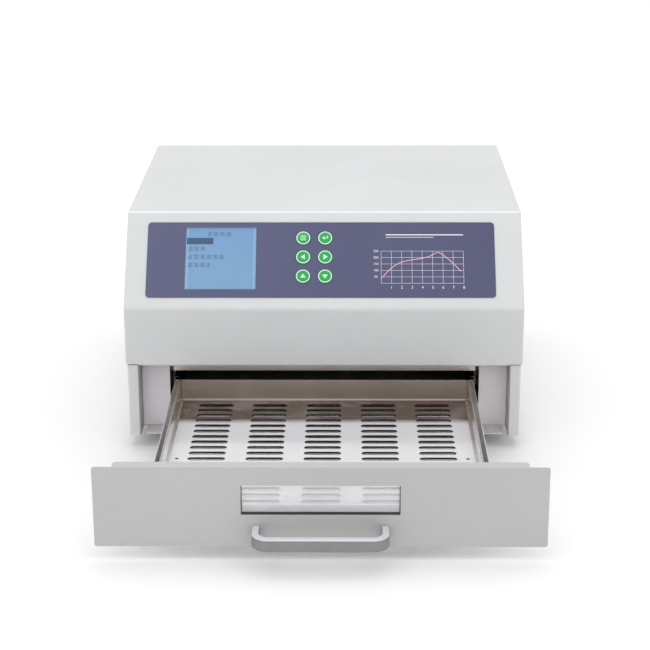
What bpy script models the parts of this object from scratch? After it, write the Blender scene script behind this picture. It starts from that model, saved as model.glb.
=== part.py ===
"""Bench-top drawer reflow oven: hood, chassis, heated chamber, controls and a sliding tray drawer.

Everything is built in the machine frame: x to the right, y to the back from the front edge of the
chassis, z up from the lower edge of the chassis. An empty carries that frame, so that the origin of
the finished part is on the surface it stands on, in the middle of its outline with the drawer open.
"""

import math

import bmesh
import bpy
from mathutils import Matrix, Vector

MM = 0.001

# Fits
GAP = 0.3 * MM                      # between pieces that touch
RUNNING_GAP = 0.8 * MM              # between pieces that slide past each other

# Case
BODY_WIDTH = 430 * MM
BODY_DEPTH = 398 * MM
BODY_HEIGHT = 235 * MM
FOOT_HEIGHT = 15 * MM
FOOT_RADIUS = 12 * MM
FOOT_INSET_X = 35 * MM
FOOT_INSET_FRONT = 60 * MM
FOOT_INSET_REAR = 38 * MM
CASE_SHEET = 1.2 * MM
HOOD_PROUD = 1.5 * MM               # the fascia stands this far in front of the chassis
FASCIA_BOTTOM = 81.6 * MM
FASCIA_HEIGHT = 64.4 * MM
RIDGE_SETBACK = 73.3 * MM           # fascia to the fold between sloped panel and top
SEAM = 1.6 * MM                     # open joint between hood and chassis sides
HOOD_LAP = 12 * MM                  # the chassis sides rise this far inside the hood
FASCIA_LIP = 10 * MM
STRIP_WIDTH = 12.4 * MM             # front faces of the chassis sides
FRAME_SETBACK = 26 * MM
MOUTH_SIDE = 45 * MM                # frame either side of the mouth
MOUTH_HEADROOM = 7 * MM             # the frame's opening above the liner's
BASE_HEIGHT = 1.0 * MM
LEDGE_SIDE_GAP = 5.4 * MM
LEDGE_SETBACK = 1.5 * MM
LEDGE_CORNER = 3 * MM

# Heated chamber
LINER_SHEET = 0.8 * MM
LINER_SETBACK = 31 * MM
REAR_BAY = 67 * MM                  # from the liner to the hood's rear edge
POWER_BAY = 95 * MM                 # from the liner to the hood's top
LINER_FLOOR = 18 * MM
TRAY_HEADROOM = 4.5 * MM            # from the tray's rim to the liner's mouth
INSULATION = 13 * MM
SHIELD_GAP = 5 * MM
SHIELD_SETBACK = 70 * MM
HEATER_COUNT = 4
HEATER_RADIUS = 5 * MM
HEATER_DROP = 22 * MM               # from the liner's top to the heaters
HEATER_FIRST = 40 * MM              # liner front to the first heater
HEATER_LAST = 62 * MM               # last heater to the liner's back
HOLDER_WIDTH = 10 * MM
HOLDER_HEIGHT = 18 * MM
REFLECTOR_SHEET = 0.6 * MM
REFLECTOR_RISE = 5 * MM
PROBE_RADIUS = 1.6 * MM
PROBE_REACH = 55 * MM
PROBE_RISE = 11.5 * MM              # above the liner's mouth
PROBE_SETBACK = 139 * MM            # behind the liner's front

# Circulation fan
IMPELLER_RADIUS = 36 * MM
IMPELLER_DEPTH = 9 * MM
IMPELLER_BLADES = 8
FAN_AXIS_RISE = 4 * MM              # above the middle of the liner
SHAFT_RADIUS = 3 * MM
SHAFT_RUNNING_GAP = 0.05 * MM
SHAFT_HOLE_RADIUS = 6 * MM
MOTOR_RADIUS = 24 * MM
MOTOR_LENGTH = 34 * MM

# Rear panel and what it carries
EXHAUST_SIZE = 80 * MM
EXHAUST_DEPTH = 25 * MM
EXHAUST_BORE = 38 * MM
EXHAUST_HUB = 17 * MM
EXHAUST_BLADES = 7
EXHAUST_FROM_SIDE = 110 * MM
EXHAUST_FROM_TOP = 75 * MM
GUARD_THICKNESS = 1.6 * MM
POWER_ROW_Z = 48 * MM
INLET_FROM_SIDE = 55 * MM
INLET_WIDTH = 48 * MM
INLET_HEIGHT = 28 * MM
INLET_FLANGE = 2.5 * MM
SOCKET_WIDTH = 24 * MM
SOCKET_HEIGHT = 17 * MM
SOCKET_DEPTH = 15 * MM
FUSE_FROM_SIDE = 103 * MM
FUSE_CAP_RADIUS = 7 * MM
FUSE_CAP_LENGTH = 9 * MM
SWITCH_FROM_SIDE = 140 * MM
SWITCH_WIDTH = 31 * MM
SWITCH_HEIGHT = 25 * MM
ROCKER_WIDTH = 19 * MM
ROCKER_HEIGHT = 22 * MM
ROCKER_TILT = math.radians(9)
VENT_ROWS = 6
VENT_PITCH = 9 * MM
VENT_LENGTH = 42 * MM
VENT_WIDTH = 4 * MM

# Control panel, measured up the slope from the lower fold
OVERLAY_LEFT = 23 * MM              # from the hood's left edge
OVERLAY_RIGHT = 30 * MM
OVERLAY_BOTTOM = 13.3 * MM
OVERLAY_TOP = 13.5 * MM             # from the upper fold
OVERLAY_THICKNESS = 0.5 * MM
OVERLAY_CORNER = 4 * MM
SCREEN_LEFT = 41.5 * MM             # from the overlay's left edge
SCREEN_WIDTH = 77 * MM
SCREEN_RISE = 9.7 * MM              # from the overlay's lower edge
SCREEN_DROP = 5.3 * MM              # from its upper edge
SCREEN_RECESS = 1.0 * MM
SCREEN_THICKNESS = 1.8 * MM
MODULE_BORDER = 7 * MM
MODULE_THICKNESS = 8 * MM
KEY_RADIUS = 8 * MM
KEY_COLUMNS = 2
KEY_ROWS = 3
KEY_LEFT = 169.4 * MM               # from the overlay's left edge to the first column
KEY_RISE = 24.6 * MM                # from the overlay's lower edge to the first row
KEY_DROP = 19 * MM                  # from its upper edge to the last row
KEY_PITCH_X = 23.8 * MM
KEY_STAND_OUT = 0.9 * MM
KEY_FLANGE = 1.2 * MM
KEY_FLANGE_THICKNESS = 0.8 * MM
KEY_TRAVEL = 0.5 * MM
BOARD_THICKNESS = 1.6 * MM
BOARD_MARGIN = 8 * MM
TACT_SIZE = 6 * MM

# Drawer
DRAWER_STAY_IN = 14 * MM            # tray left inside the case at the open stop
FRONT_TOP_GAP = 0.9 * MM            # below the fascia
FRONT_SHEET = 1.5 * MM
FRONT_DROP = 0.5 * MM               # the drawer front reaches below the chassis edge
FRONT_LIP = 12 * MM
FRONT_LIP_INSET = 19 * MM
WINDOW_WIDTH = 151 * MM
WINDOW_HEIGHT = 30 * MM
WINDOW_BOTTOM = 32.3 * MM
PANE_BORDER = 7 * MM
PANE_THICKNESS = 3 * MM
RETAINER_BORDER = 12 * MM
HANDLE_WIDTH = 129.6 * MM
HANDLE_HEIGHT = 12.3 * MM
HANDLE_BAR = 8.6 * MM
HANDLE_LEG = 7 * MM
HANDLE_REACH = 34.5 * MM
HANDLE_BOTTOM = 9.7 * MM
HANDLE_CORNER = 16 * MM
HANDLE_INNER_CORNER = 9 * MM
SCREW_RADIUS = 2 * MM
SCREW_HEAD_RADIUS = 3.8 * MM
SCREW_LENGTH = 8 * MM
TRAY_SIDE_GAP = 13.5 * MM           # tray to the mouth's side, with room for a slide
TRAY_SHEET = 1.0 * MM
TRAY_FLOOR = 37 * MM
TRAY_WALL = 23 * MM
TRAY_FLANGE = 6.5 * MM
TRAY_REAR_GAP = 39 * MM             # shut tray to the liner's back, with room for the fan
TRAY_FRONT = 12 * MM
TRAY_APRON = 7 * MM
SLOT_COLUMNS = 5
SLOT_LENGTH = 38 * MM
SLOT_WIDTH = 8.4 * MM
SLOT_PITCH = 15 * MM
SLOT_SIDE = 20.3 * MM               # outer slots to the tray's side
SLOT_FIRST = 6.2 * MM               # tray front to the first slot's centre
SLOT_LAST = 15 * MM                 # least distance from the last slot's centre to the back

# Small corners and depths of bought-in parts
FAN_CORNER = 4 * MM
FAN_BLADE = 0.6 * MM
INLET_CORNER = 3 * MM
INLET_TAIL = 30 * MM
ROCKER_BEZEL = 2 * MM
ROCKER_HOUSING_DEPTH = 22 * MM
ROCKER_WELL_DEPTH = 12 * MM
ROCKER_CROWN = 4.4 * MM
ROCKER_SKIRT = 3 * MM
ROCKER_EDGE = 2 * MM
FRONT_CORNER = 2 * MM
LIP_CORNER = 4 * MM

# Boards
BOARD_POST = 3 * MM
RELAY_HEIGHT = 16 * MM
RELAY_LENGTH = 18 * MM
RELAY_PITCH = 26 * MM
SINK_BASE = 4 * MM
SINK_FIN = 1.6 * MM
RIBBON_OUT = 14 * MM                # back from the control board before the first bend
RIBBON_RISE = 4 * MM
RIBBON_LANDING = 12 * MM            # onto the power board
RIBBON_BEND = 30 * MM
RIBBON_LIFT = 8 * MM
RIBBON_FLAT = 10 * MM

# Telescopic slides
RAIL_SHEET = 1.2 * MM
RAIL_HEIGHT = 21.7 * MM
RAIL_DROP = 2.3 * MM                # below the tray's rim
RAIL_STEP = 1.4 * MM                # ball space between one rail and the next
RAIL_REACH = 5.2 * MM               # how far the fixed rail's lips stand out
MIDDLE_RAIL_REACH = 4.5 * MM
RAIL_END_GAP = 29 * MM              # fixed rail to the liner's back
RAIL_WEB_SPACE = 1.1 * MM
PACKER_INSET = 25 * MM
PACKER_WIDTH = 3.6 * MM

# Boards and power parts above the chamber
POWER_BOARD_WIDTH = 150 * MM
POWER_BOARD_DEPTH = 110 * MM
STANDOFF = 6 * MM
HEATSINK_WIDTH = 60 * MM
HEATSINK_DEPTH = 80 * MM
HEATSINK_HEIGHT = 32 * MM
HEATSINK_FINS = 6
TRANSFORMER_WIDTH = 57 * MM
TRANSFORMER_DEPTH = 48 * MM
TRANSFORMER_HEIGHT = 46 * MM
POWER_PART_SPACE = 12 * MM
POWER_ROW_SETBACK = 150 * MM        # behind the shield's front edge
RIBBON_WIDTH = 26 * MM
RIBBON_THICKNESS = 1.0 * MM

# Places that follow from the sizes above
HALF_WIDTH = BODY_WIDTH / 2
TRAY_RIM = TRAY_FLOOR + TRAY_WALL
HOOD_INNER_X = HALF_WIDTH - CASE_SHEET
CHASSIS_X = HOOD_INNER_X - GAP
STRIP_INNER_X = CHASSIS_X - STRIP_WIDTH
HOOD_FRONT = -HOOD_PROUD
FASCIA_TOP = FASCIA_BOTTOM + FASCIA_HEIGHT
RIDGE_Y = HOOD_FRONT + RIDGE_SETBACK
SLOPE_RISE = BODY_HEIGHT - FASCIA_TOP
SLOPE_ANGLE = math.atan2(SLOPE_RISE, RIDGE_SETBACK)
SLOPE_LENGTH = math.hypot(SLOPE_RISE, RIDGE_SETBACK)
SIDE_TOP = FASCIA_BOTTOM + GAP
HOOD_SIDE_BOTTOM = FASCIA_BOTTOM + SEAM
REAR_PANEL_OUT = BODY_DEPTH - GAP
REAR_PANEL_IN = REAR_PANEL_OUT - CASE_SHEET
BASE_TOP = BASE_HEIGHT + CASE_SHEET
FRAME_BACK = FRAME_SETBACK + CASE_SHEET
LINER_X = HALF_WIDTH - MOUTH_SIDE
LINER_OUT_X = LINER_X + LINER_SHEET
LINER_TOP = BODY_HEIGHT - POWER_BAY
LINER_BACK = BODY_DEPTH - REAR_BAY
HEADER_BOTTOM = TRAY_RIM + TRAY_HEADROOM
MOUTH_TOP = HEADER_BOTTOM + MOUTH_HEADROOM
HEATER_HEIGHT = LINER_TOP - HEATER_DROP
PROBE_HEIGHT = HEADER_BOTTOM + PROBE_RISE
PROBE_Y = LINER_SETBACK + PROBE_SETBACK
FAN_AXIS_HEIGHT = (LINER_FLOOR + LINER_TOP) / 2 + FAN_AXIS_RISE
BLANKET_IN_X = LINER_OUT_X + GAP
BLANKET_OUT_X = BLANKET_IN_X + INSULATION
BLANKET_IN_TOP = LINER_TOP + GAP
BLANKET_OUT_TOP = BLANKET_IN_TOP + INSULATION
BLANKET_IN_BACK = LINER_BACK + GAP
BLANKET_OUT_BACK = BLANKET_IN_BACK + INSULATION
SHIELD_X = BLANKET_OUT_X + SHIELD_GAP
SHIELD_TOP = BLANKET_OUT_TOP + SHIELD_GAP
EXHAUST_X = HALF_WIDTH - EXHAUST_FROM_SIDE
EXHAUST_Z = BODY_HEIGHT - EXHAUST_FROM_TOP
INLET_X = INLET_FROM_SIDE - HALF_WIDTH
FUSE_X = FUSE_FROM_SIDE - HALF_WIDTH
SWITCH_X = SWITCH_FROM_SIDE - HALF_WIDTH
OVERLAY_START = OVERLAY_LEFT - HALF_WIDTH
OVERLAY_END = HALF_WIDTH - OVERLAY_RIGHT
OVERLAY_UPPER = SLOPE_LENGTH - OVERLAY_TOP
SCREEN_START = OVERLAY_START + SCREEN_LEFT
SCREEN_LOWER = OVERLAY_BOTTOM + SCREEN_RISE
SCREEN_UPPER = OVERLAY_UPPER - SCREEN_DROP
KEY_X = OVERLAY_START + KEY_LEFT
KEY_LOWER = OVERLAY_BOTTOM + KEY_RISE
KEY_PITCH_UP = (OVERLAY_UPPER - KEY_DROP - KEY_LOWER) / (KEY_ROWS - 1)
TRAY_INNER_X = LINER_X - TRAY_SIDE_GAP
TRAY_BACK = LINER_BACK - TRAY_REAR_GAP
DRAWER_OPEN = TRAY_BACK - DRAWER_STAY_IN
RAIL_START = LINER_SETBACK + LINER_SHEET
RAIL_LENGTH = LINER_BACK - RAIL_END_GAP - RAIL_START
HANDLE_BACK = -GAP - FRONT_SHEET - GAP
HANDLE_FRONT = HANDLE_BACK - HANDLE_REACH
REAR_END = REAR_PANEL_OUT + GAP + FUSE_CAP_LENGTH
MACHINE_Y = -(HANDLE_FRONT - DRAWER_OPEN + REAR_END) / 2


# ---------------------------------------------------------------- shapes

def rectangle(left, bottom, right, top):
    """Corners of an upright rectangle."""
    return [(left, bottom), (right, bottom), (right, top), (left, top)]


def rounded_rectangle(left, bottom, right, top, radius, steps=3):
    """Outline of a rectangle whose corners are arcs."""
    centres = [(right - radius, top - radius), (left + radius, top - radius),
               (left + radius, bottom + radius), (right - radius, bottom + radius)]
    outline = []
    for quarter, (x, y) in enumerate(centres):
        for step in range(steps + 1):
            angle = math.pi / 2 * (quarter + step / steps)
            outline.append((x + radius * math.cos(angle), y + radius * math.sin(angle)))
    return outline


def circle(x, y, radius, points=24):
    """Outline of a circle."""
    turns = [2 * math.pi * index / points for index in range(points)]
    return [(x + radius * math.cos(turn), y + radius * math.sin(turn)) for turn in turns]


def sheet_outline(path, thickness):
    """Outline of a bent sheet whose one face runs along path and whose body lies to its right."""
    inner = []
    for index, point in enumerate(path):
        here = Vector(point)
        normals = []
        if index > 0:
            run = (here - Vector(path[index - 1])).normalized()
            normals.append(Vector((run.y, -run.x)))
        if index < len(path) - 1:
            run = (Vector(path[index + 1]) - here).normalized()
            normals.append(Vector((run.y, -run.x)))
        mean = sum(normals, Vector((0, 0))).normalized()
        inner.append(tuple(here + mean * thickness / mean.dot(normals[0])))
    return list(path) + inner[::-1]


def in_space(point, plane, depth):
    """A point of a drawing on a plane, at a depth along the plane's normal."""
    first, second = point
    if plane == "XY":
        return Vector((first, second, depth))
    if plane == "XZ":
        return Vector((first, depth, second))
    return Vector((depth, first, second))


def finish_mesh(bm):
    """Turn a closed bmesh into a mesh with its faces pointing out."""
    bmesh.ops.recalc_face_normals(bm, faces=bm.faces[:])
    mesh = bpy.data.meshes.new("shape")
    bm.to_mesh(mesh)
    bm.free()
    return mesh


def extrude(plane, start, end, outline, *holes):
    """Solid with the given outline and holes, from start to end along the plane's normal."""
    bm = bmesh.new()
    for loop in (outline, *holes):
        corners = [bm.verts.new(in_space(point, plane, start)) for point in loop]
        for index, corner in enumerate(corners):
            bm.edges.new((corner, corners[index - 1]))
    bmesh.ops.triangle_fill(bm, edges=bm.edges[:], use_beauty=True)
    raised = bmesh.ops.extrude_face_region(bm, geom=bm.faces[:])["geom"]
    moved = [item for item in raised if isinstance(item, bmesh.types.BMVert)]
    bmesh.ops.translate(bm, verts=moved, vec=in_space((0, 0), plane, end - start))
    return finish_mesh(bm)


def box(low, high):
    """Upright block between two corners."""
    return extrude("XY", low[2], high[2], rectangle(low[0], low[1], high[0], high[1]))


def turned(profile, segments=24, hollow=False):
    """Solid of revolution about z from (radius, height) points; a hollow profile closes on itself."""
    bm = bmesh.new()
    rings = []
    for radius, height in profile:
        if radius == 0:
            rings.append([bm.verts.new((0, 0, height))])
        else:
            rings.append([bm.verts.new((x, y, height)) for x, y in circle(0, 0, radius, segments)])
    pairs = list(zip(rings, rings[1:]))
    if hollow:
        pairs.append((rings[-1], rings[0]))
    for lower, upper in pairs:
        for index in range(segments):
            after = (index + 1) % segments
            corners = [lower[index % len(lower)], lower[after % len(lower)],
                       upper[after % len(upper)], upper[index % len(upper)]]
            bm.faces.new(list(dict.fromkeys(corners)))
    return finish_mesh(bm)


def placed(mesh, *steps):
    """Move a mesh through the given matrices, first to last."""
    for step in steps:
        mesh.transform(step)
    return mesh


def moved_by(x, y, z):
    return Matrix.Translation((x, y, z))


def turned_by(angle, axis):
    return Matrix.Rotation(angle, 4, axis)


def mirrored(mesh):
    """Copy of a mesh reflected from left to right, its faces still pointing out."""
    copy = mesh.copy()
    copy.transform(Matrix.Scale(-1, 4, (1, 0, 0)))
    copy.flip_normals()
    return copy


ALONG_Y = Matrix.Rotation(-math.pi / 2, 4, "X")     # a z axis laid along +y
ALONG_X = Matrix.Rotation(math.pi / 2, 4, "Y")      # a z axis laid along +x


def combine(mesh, tools, operation):
    """Boolean of a mesh with each tool in turn."""
    for tool in tools:
        body = bpy.data.objects.new("body", mesh)
        cutter = bpy.data.objects.new("cutter", tool)
        for item in (body, cutter):
            bpy.context.scene.collection.objects.link(item)
        modifier = body.modifiers.new("cut", "BOOLEAN")
        modifier.solver = "EXACT"
        modifier.operation = operation
        modifier.object = cutter
        graph = bpy.context.evaluated_depsgraph_get()
        mesh = bpy.data.meshes.new_from_object(body.evaluated_get(graph))
        bpy.data.objects.remove(body)
        bpy.data.objects.remove(cutter)
    return mesh


def cut(mesh, *tools):
    return combine(mesh, tools, "DIFFERENCE")


def join(mesh, *tools):
    return combine(mesh, tools, "UNION")


# ---------------------------------------------------------------- scene

def make_material(name, colour, roughness, metallic=0.0, alpha=1.0):
    """Plain Principled material."""
    material = bpy.data.materials.new(name)
    material.use_nodes = True
    shader = material.node_tree.nodes["Principled BSDF"]
    shader.inputs["Base Color"].default_value = (*colour, 1.0)
    shader.inputs["Roughness"].default_value = roughness
    shader.inputs["Metallic"].default_value = metallic
    shader.inputs["Alpha"].default_value = alpha
    return material


def make_empty(name, parent=None, location=(0, 0, 0), rotation=(0, 0, 0)):
    """Frame that other objects hang on."""
    empty = bpy.data.objects.new(name, None)
    empty.location = location
    empty.rotation_euler = rotation
    empty.parent = parent
    bpy.context.scene.collection.objects.link(empty)
    return empty


def add_part(name, mesh, look, parent, location=(0, 0, 0), rotation=(0, 0, 0)):
    """Put one finished solid in the scene."""
    mesh.name = name
    mesh.materials.clear()
    mesh.materials.append(make_material(name, **look))
    mesh.shade_smooth()
    mesh.set_sharp_from_angle(angle=math.radians(35))
    part = bpy.data.objects.new(name, mesh)
    part.location = location
    part.rotation_euler = rotation
    part.parent = parent
    bpy.context.scene.collection.objects.link(part)
    return part


WARM_WHITE_PAINT = {"colour": (0.76, 0.76, 0.75), "roughness": 0.5}
GREY_PAINT = {"colour": (0.50, 0.47, 0.48), "roughness": 0.5}
ZINC = {"colour": (0.60, 0.60, 0.58), "roughness": 0.4, "metallic": 1.0}
BRIGHT_STEEL = {"colour": (0.62, 0.59, 0.56), "roughness": 0.22, "metallic": 1.0}
DARK_STEEL = {"colour": (0.08, 0.07, 0.065), "roughness": 0.5, "metallic": 1.0}
SATIN_ALUMINIUM = {"colour": (0.60, 0.60, 0.60), "roughness": 0.35, "metallic": 1.0}
BLACK_PLASTIC = {"colour": (0.02, 0.02, 0.02), "roughness": 0.45}
BLACK_RUBBER = {"colour": (0.025, 0.025, 0.025), "roughness": 0.8}
GREEN_PLASTIC = {"colour": (0.03, 0.45, 0.12), "roughness": 0.35}
NAVY_FILM = {"colour": (0.12, 0.13, 0.24), "roughness": 0.35}
SCREEN_BLUE = {"colour": (0.22, 0.40, 0.60), "roughness": 0.15}
CLEAR_GLASS = {"colour": (0.9, 0.95, 0.93), "roughness": 0.03, "alpha": 0.3}
MILKY_QUARTZ = {"colour": (0.85, 0.82, 0.76), "roughness": 0.25}
CERAMIC = {"colour": (0.80, 0.77, 0.70), "roughness": 0.6}
FIBRE_BLANKET = {"colour": (0.78, 0.74, 0.62), "roughness": 0.95}
BOARD_GREEN = {"colour": (0.02, 0.18, 0.07), "roughness": 0.4}
COPPER_WINDING = {"colour": (0.45, 0.20, 0.08), "roughness": 0.4}
GREY_CABLE = {"colour": (0.35, 0.35, 0.36), "roughness": 0.6}


# ---------------------------------------------------------------- case

def key_places():
    """Centres of the keys on the sloped panel, from the top left."""
    places = []
    for row in reversed(range(KEY_ROWS)):
        for column in range(KEY_COLUMNS):
            places.append((KEY_X + KEY_PITCH_X * column, KEY_LOWER + KEY_PITCH_UP * row))
    return places


def screen_outline(margin=0.0):
    """The display's opening, grown by a margin."""
    return rectangle(SCREEN_START - margin, SCREEN_LOWER - margin,
                     SCREEN_START + SCREEN_WIDTH + margin, SCREEN_UPPER + margin)


def panel_to_machine():
    """From the sloped panel's own frame, z pointing out of it, to the machine frame."""
    return moved_by(0, HOOD_FRONT, FASCIA_TOP) @ turned_by(SLOPE_ANGLE, "X")


def hood_cover():
    """Folded cover: lip, fascia, sloped panel, top and both side walls."""
    fold = [(HOOD_FRONT + FASCIA_LIP, FASCIA_BOTTOM), (HOOD_FRONT, FASCIA_BOTTOM),
            (HOOD_FRONT, FASCIA_TOP), (RIDGE_Y, BODY_HEIGHT), (BODY_DEPTH, BODY_HEIGHT)]
    hood = extrude("YZ", -HALF_WIDTH, HALF_WIDTH, sheet_outline(fold, CASE_SHEET))
    side = [(HOOD_FRONT, HOOD_SIDE_BOTTOM), (HOOD_FRONT, FASCIA_TOP), (RIDGE_Y, BODY_HEIGHT),
            (BODY_DEPTH, BODY_HEIGHT), (BODY_DEPTH, HOOD_SIDE_BOTTOM)]
    hood = join(hood, extrude("YZ", -HALF_WIDTH, -HOOD_INNER_X, side),
                extrude("YZ", HOOD_INNER_X, HALF_WIDTH, side))
    clear = HALF_WIDTH
    seams = [box((STRIP_INNER_X * sign, -clear, 0), (clear * 2 * sign, clear, HOOD_SIDE_BOTTOM))
             for sign in (-1, 1)]
    hood = cut(hood, *seams)
    deep = CASE_SHEET * 4
    openings = [extrude("XY", -deep, deep, screen_outline())]
    for x, up in key_places():
        hole = circle(x, up, KEY_RADIUS + RUNNING_GAP / 2)
        openings.append(extrude("XY", -deep, deep, hole))
    return cut(hood, *[placed(opening, panel_to_machine()) for opening in openings])


def chassis_side(sign):
    """Lower side wall with its front strip folded round and back to the mouth frame."""
    plan = [(CHASSIS_X * sign, REAR_PANEL_IN - GAP), (CHASSIS_X * sign, 0),
            (STRIP_INNER_X * sign, 0), (STRIP_INNER_X * sign, FRAME_SETBACK - GAP)]
    wall = extrude("XY", 0, SIDE_TOP + HOOD_LAP, sheet_outline(plan, CASE_SHEET * sign))
    trim = HOOD_LAP * 1.5
    front_top = box((0, -trim, SIDE_TOP), (BODY_WIDTH * sign, FRAME_BACK + trim, BODY_HEIGHT))
    return cut(wall, front_top)


def base_plate():
    """Bottom plate with a narrower ledge between the front strips."""
    ledge_x = STRIP_INNER_X - LEDGE_SIDE_GAP
    wide_x = CHASSIS_X - CASE_SHEET - GAP
    ledge = rounded_rectangle(-ledge_x, LEDGE_SETBACK, ledge_x, FRAME_BACK + LEDGE_CORNER * 2,
                              LEDGE_CORNER)
    plate = extrude("XY", BASE_HEIGHT, BASE_TOP,
                    rectangle(-wide_x, FRAME_SETBACK - GAP, wide_x, REAR_PANEL_IN - GAP))
    return join(plate, extrude("XY", BASE_HEIGHT, BASE_TOP, ledge))


def front_frame():
    """Plate round the drawer's mouth."""
    edge = STRIP_INNER_X - GAP
    outline = rectangle(-edge, BASE_TOP + GAP, edge, LINER_TOP)
    mouth = rectangle(-LINER_X, LINER_FLOOR, LINER_X, MOUTH_TOP)
    return extrude("XZ", FRAME_SETBACK, FRAME_BACK, outline, mouth)


def vent_outlines():
    """Slots on the right of the rear panel, below the exhaust fan."""
    slots = []
    for column in (-1, 1):
        for row in range(VENT_ROWS):
            x = EXHAUST_X + column * VENT_LENGTH * 0.6
            z = POWER_ROW_Z - VENT_PITCH + row * VENT_PITCH
            slots.append(rectangle(x - VENT_LENGTH / 2, z, x + VENT_LENGTH / 2, z + VENT_WIDTH))
    return slots


def rear_panel():
    """Flat back with its fan hole, vents and cut-outs."""
    edge = HOOD_INNER_X - GAP
    outline = rectangle(-edge, BASE_HEIGHT, edge, BODY_HEIGHT - CASE_SHEET - GAP)
    fan_hole = circle(EXHAUST_X, EXHAUST_Z, EXHAUST_BORE, 32)
    inlet_x = SOCKET_WIDTH / 2 + CASE_SHEET * 2
    inlet_z = SOCKET_HEIGHT / 2 + CASE_SHEET * 2
    inlet = rectangle(INLET_X - inlet_x, POWER_ROW_Z - inlet_z,
                      INLET_X + inlet_x, POWER_ROW_Z + inlet_z)
    fuse = circle(FUSE_X, POWER_ROW_Z, FUSE_CAP_RADIUS - CASE_SHEET, 20)
    switch_x = SWITCH_WIDTH / 2 - CASE_SHEET * 1.5
    switch_z = SWITCH_HEIGHT / 2 - CASE_SHEET * 0.6
    switch = rectangle(SWITCH_X - switch_x, POWER_ROW_Z - switch_z,
                       SWITCH_X + switch_x, POWER_ROW_Z + switch_z)
    return extrude("XZ", REAR_PANEL_IN, REAR_PANEL_OUT, outline, fan_hole, inlet, fuse, switch,
                   *vent_outlines())


def foot():
    """Rubber foot with its top against the base plate."""
    top = BASE_HEIGHT - GAP
    waist = FOOT_RADIUS * 0.85
    rim = FOOT_HEIGHT * 0.12
    return turned([(0, top), (waist, top), (FOOT_RADIUS, rim - FOOT_HEIGHT),
                   (FOOT_RADIUS * 0.93, -FOOT_HEIGHT), (0, -FOOT_HEIGHT)], 20)


# ---------------------------------------------------------------- chamber

def chamber_liner():
    """Box of bright sheet, open only at the mouth."""
    liner = box((-LINER_OUT_X, LINER_SETBACK, LINER_FLOOR - LINER_SHEET),
                (LINER_OUT_X, LINER_BACK, LINER_TOP))
    hollow = box((-LINER_X, LINER_SETBACK + LINER_SHEET, LINER_FLOOR),
                 (LINER_X, LINER_BACK - LINER_SHEET, LINER_TOP - LINER_SHEET))
    mouth = box((-LINER_X, 0, LINER_FLOOR), (LINER_X, LINER_SETBACK * 1.5, HEADER_BOTTOM))
    return cut(liner, join(hollow, mouth), *wall_holes())


def wall_holes():
    """Bores through liner and insulation for the fan shaft and the two probes."""
    length = INSULATION * 4
    shaft = placed(turned([(0, -length), (SHAFT_HOLE_RADIUS, -length), (SHAFT_HOLE_RADIUS, length),
                           (0, length)], 16), ALONG_Y, moved_by(0, LINER_BACK, FAN_AXIS_HEIGHT))
    probes = []
    for sign in (-1, 1):
        radius = PROBE_RADIUS * 3
        bore = turned([(0, -length / 2), (radius, -length / 2), (radius, length / 2),
                       (0, length / 2)], 12)
        probes.append(placed(bore, ALONG_X, moved_by(LINER_OUT_X * sign, PROBE_Y, PROBE_HEIGHT)))
    return [shaft, *probes]


def chamber_insulation():
    """Fibre blanket over the liner's sides, top and back."""
    blanket = box((-BLANKET_OUT_X, FRAME_BACK + GAP, LINER_FLOOR),
                  (BLANKET_OUT_X, BLANKET_OUT_BACK, BLANKET_OUT_TOP))
    room = box((-BLANKET_IN_X, 0, 0), (BLANKET_IN_X, BLANKET_IN_BACK, BLANKET_IN_TOP))
    return cut(blanket, room, *wall_holes())


def floor_insulation():
    """Fibre slab between the base plate and the liner."""
    return box((-BLANKET_OUT_X, FRAME_BACK + GAP, BASE_TOP + GAP),
               (BLANKET_OUT_X, BLANKET_OUT_BACK, LINER_FLOOR - LINER_SHEET - GAP))


def heat_shield():
    """Inner bridge over the insulated chamber, which also carries the power parts."""
    fold = [(-SHIELD_X, BASE_TOP + GAP), (-SHIELD_X, SHIELD_TOP), (SHIELD_X, SHIELD_TOP),
            (SHIELD_X, BASE_TOP + GAP)]
    return extrude("XZ", SHIELD_SETBACK, BLANKET_OUT_BACK, sheet_outline(fold, CASE_SHEET))


def heater_pitch():
    """Distance from one heater tube to the next."""
    return (LINER_BACK - HEATER_LAST - LINER_SETBACK - HEATER_FIRST) / (HEATER_COUNT - 1)


def heater_places():
    """Depths of the heater tubes."""
    first = LINER_SETBACK + HEATER_FIRST
    return [first + heater_pitch() * index for index in range(HEATER_COUNT)]


def heater_tube():
    """Quartz tube with a narrower capped end at each side."""
    end = LINER_X - HOLDER_WIDTH / 3
    cap = HOLDER_WIDTH * 0.5
    tip = HEATER_RADIUS * 0.7
    return placed(turned([(0, -end), (tip, -end), (tip, -end + cap), (HEATER_RADIUS, -end + cap),
                          (HEATER_RADIUS, end - cap), (tip, end - cap), (tip, end), (0, end)], 16),
                  ALONG_X)


def heater_holder(sign):
    """Ceramic bar with a bore for each tube."""
    front = heater_places()[0] - HOLDER_HEIGHT
    back = heater_places()[-1] + HOLDER_HEIGHT
    half = HOLDER_HEIGHT / 2
    outline = rectangle(front, HEATER_HEIGHT - half, back, HEATER_HEIGHT + half)
    bores = [circle(y, HEATER_HEIGHT, HEATER_RADIUS + GAP, 16) for y in heater_places()]
    outer = LINER_X - GAP
    return extrude("YZ", (outer - HOLDER_WIDTH) * sign, outer * sign, outline, *bores)


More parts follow.
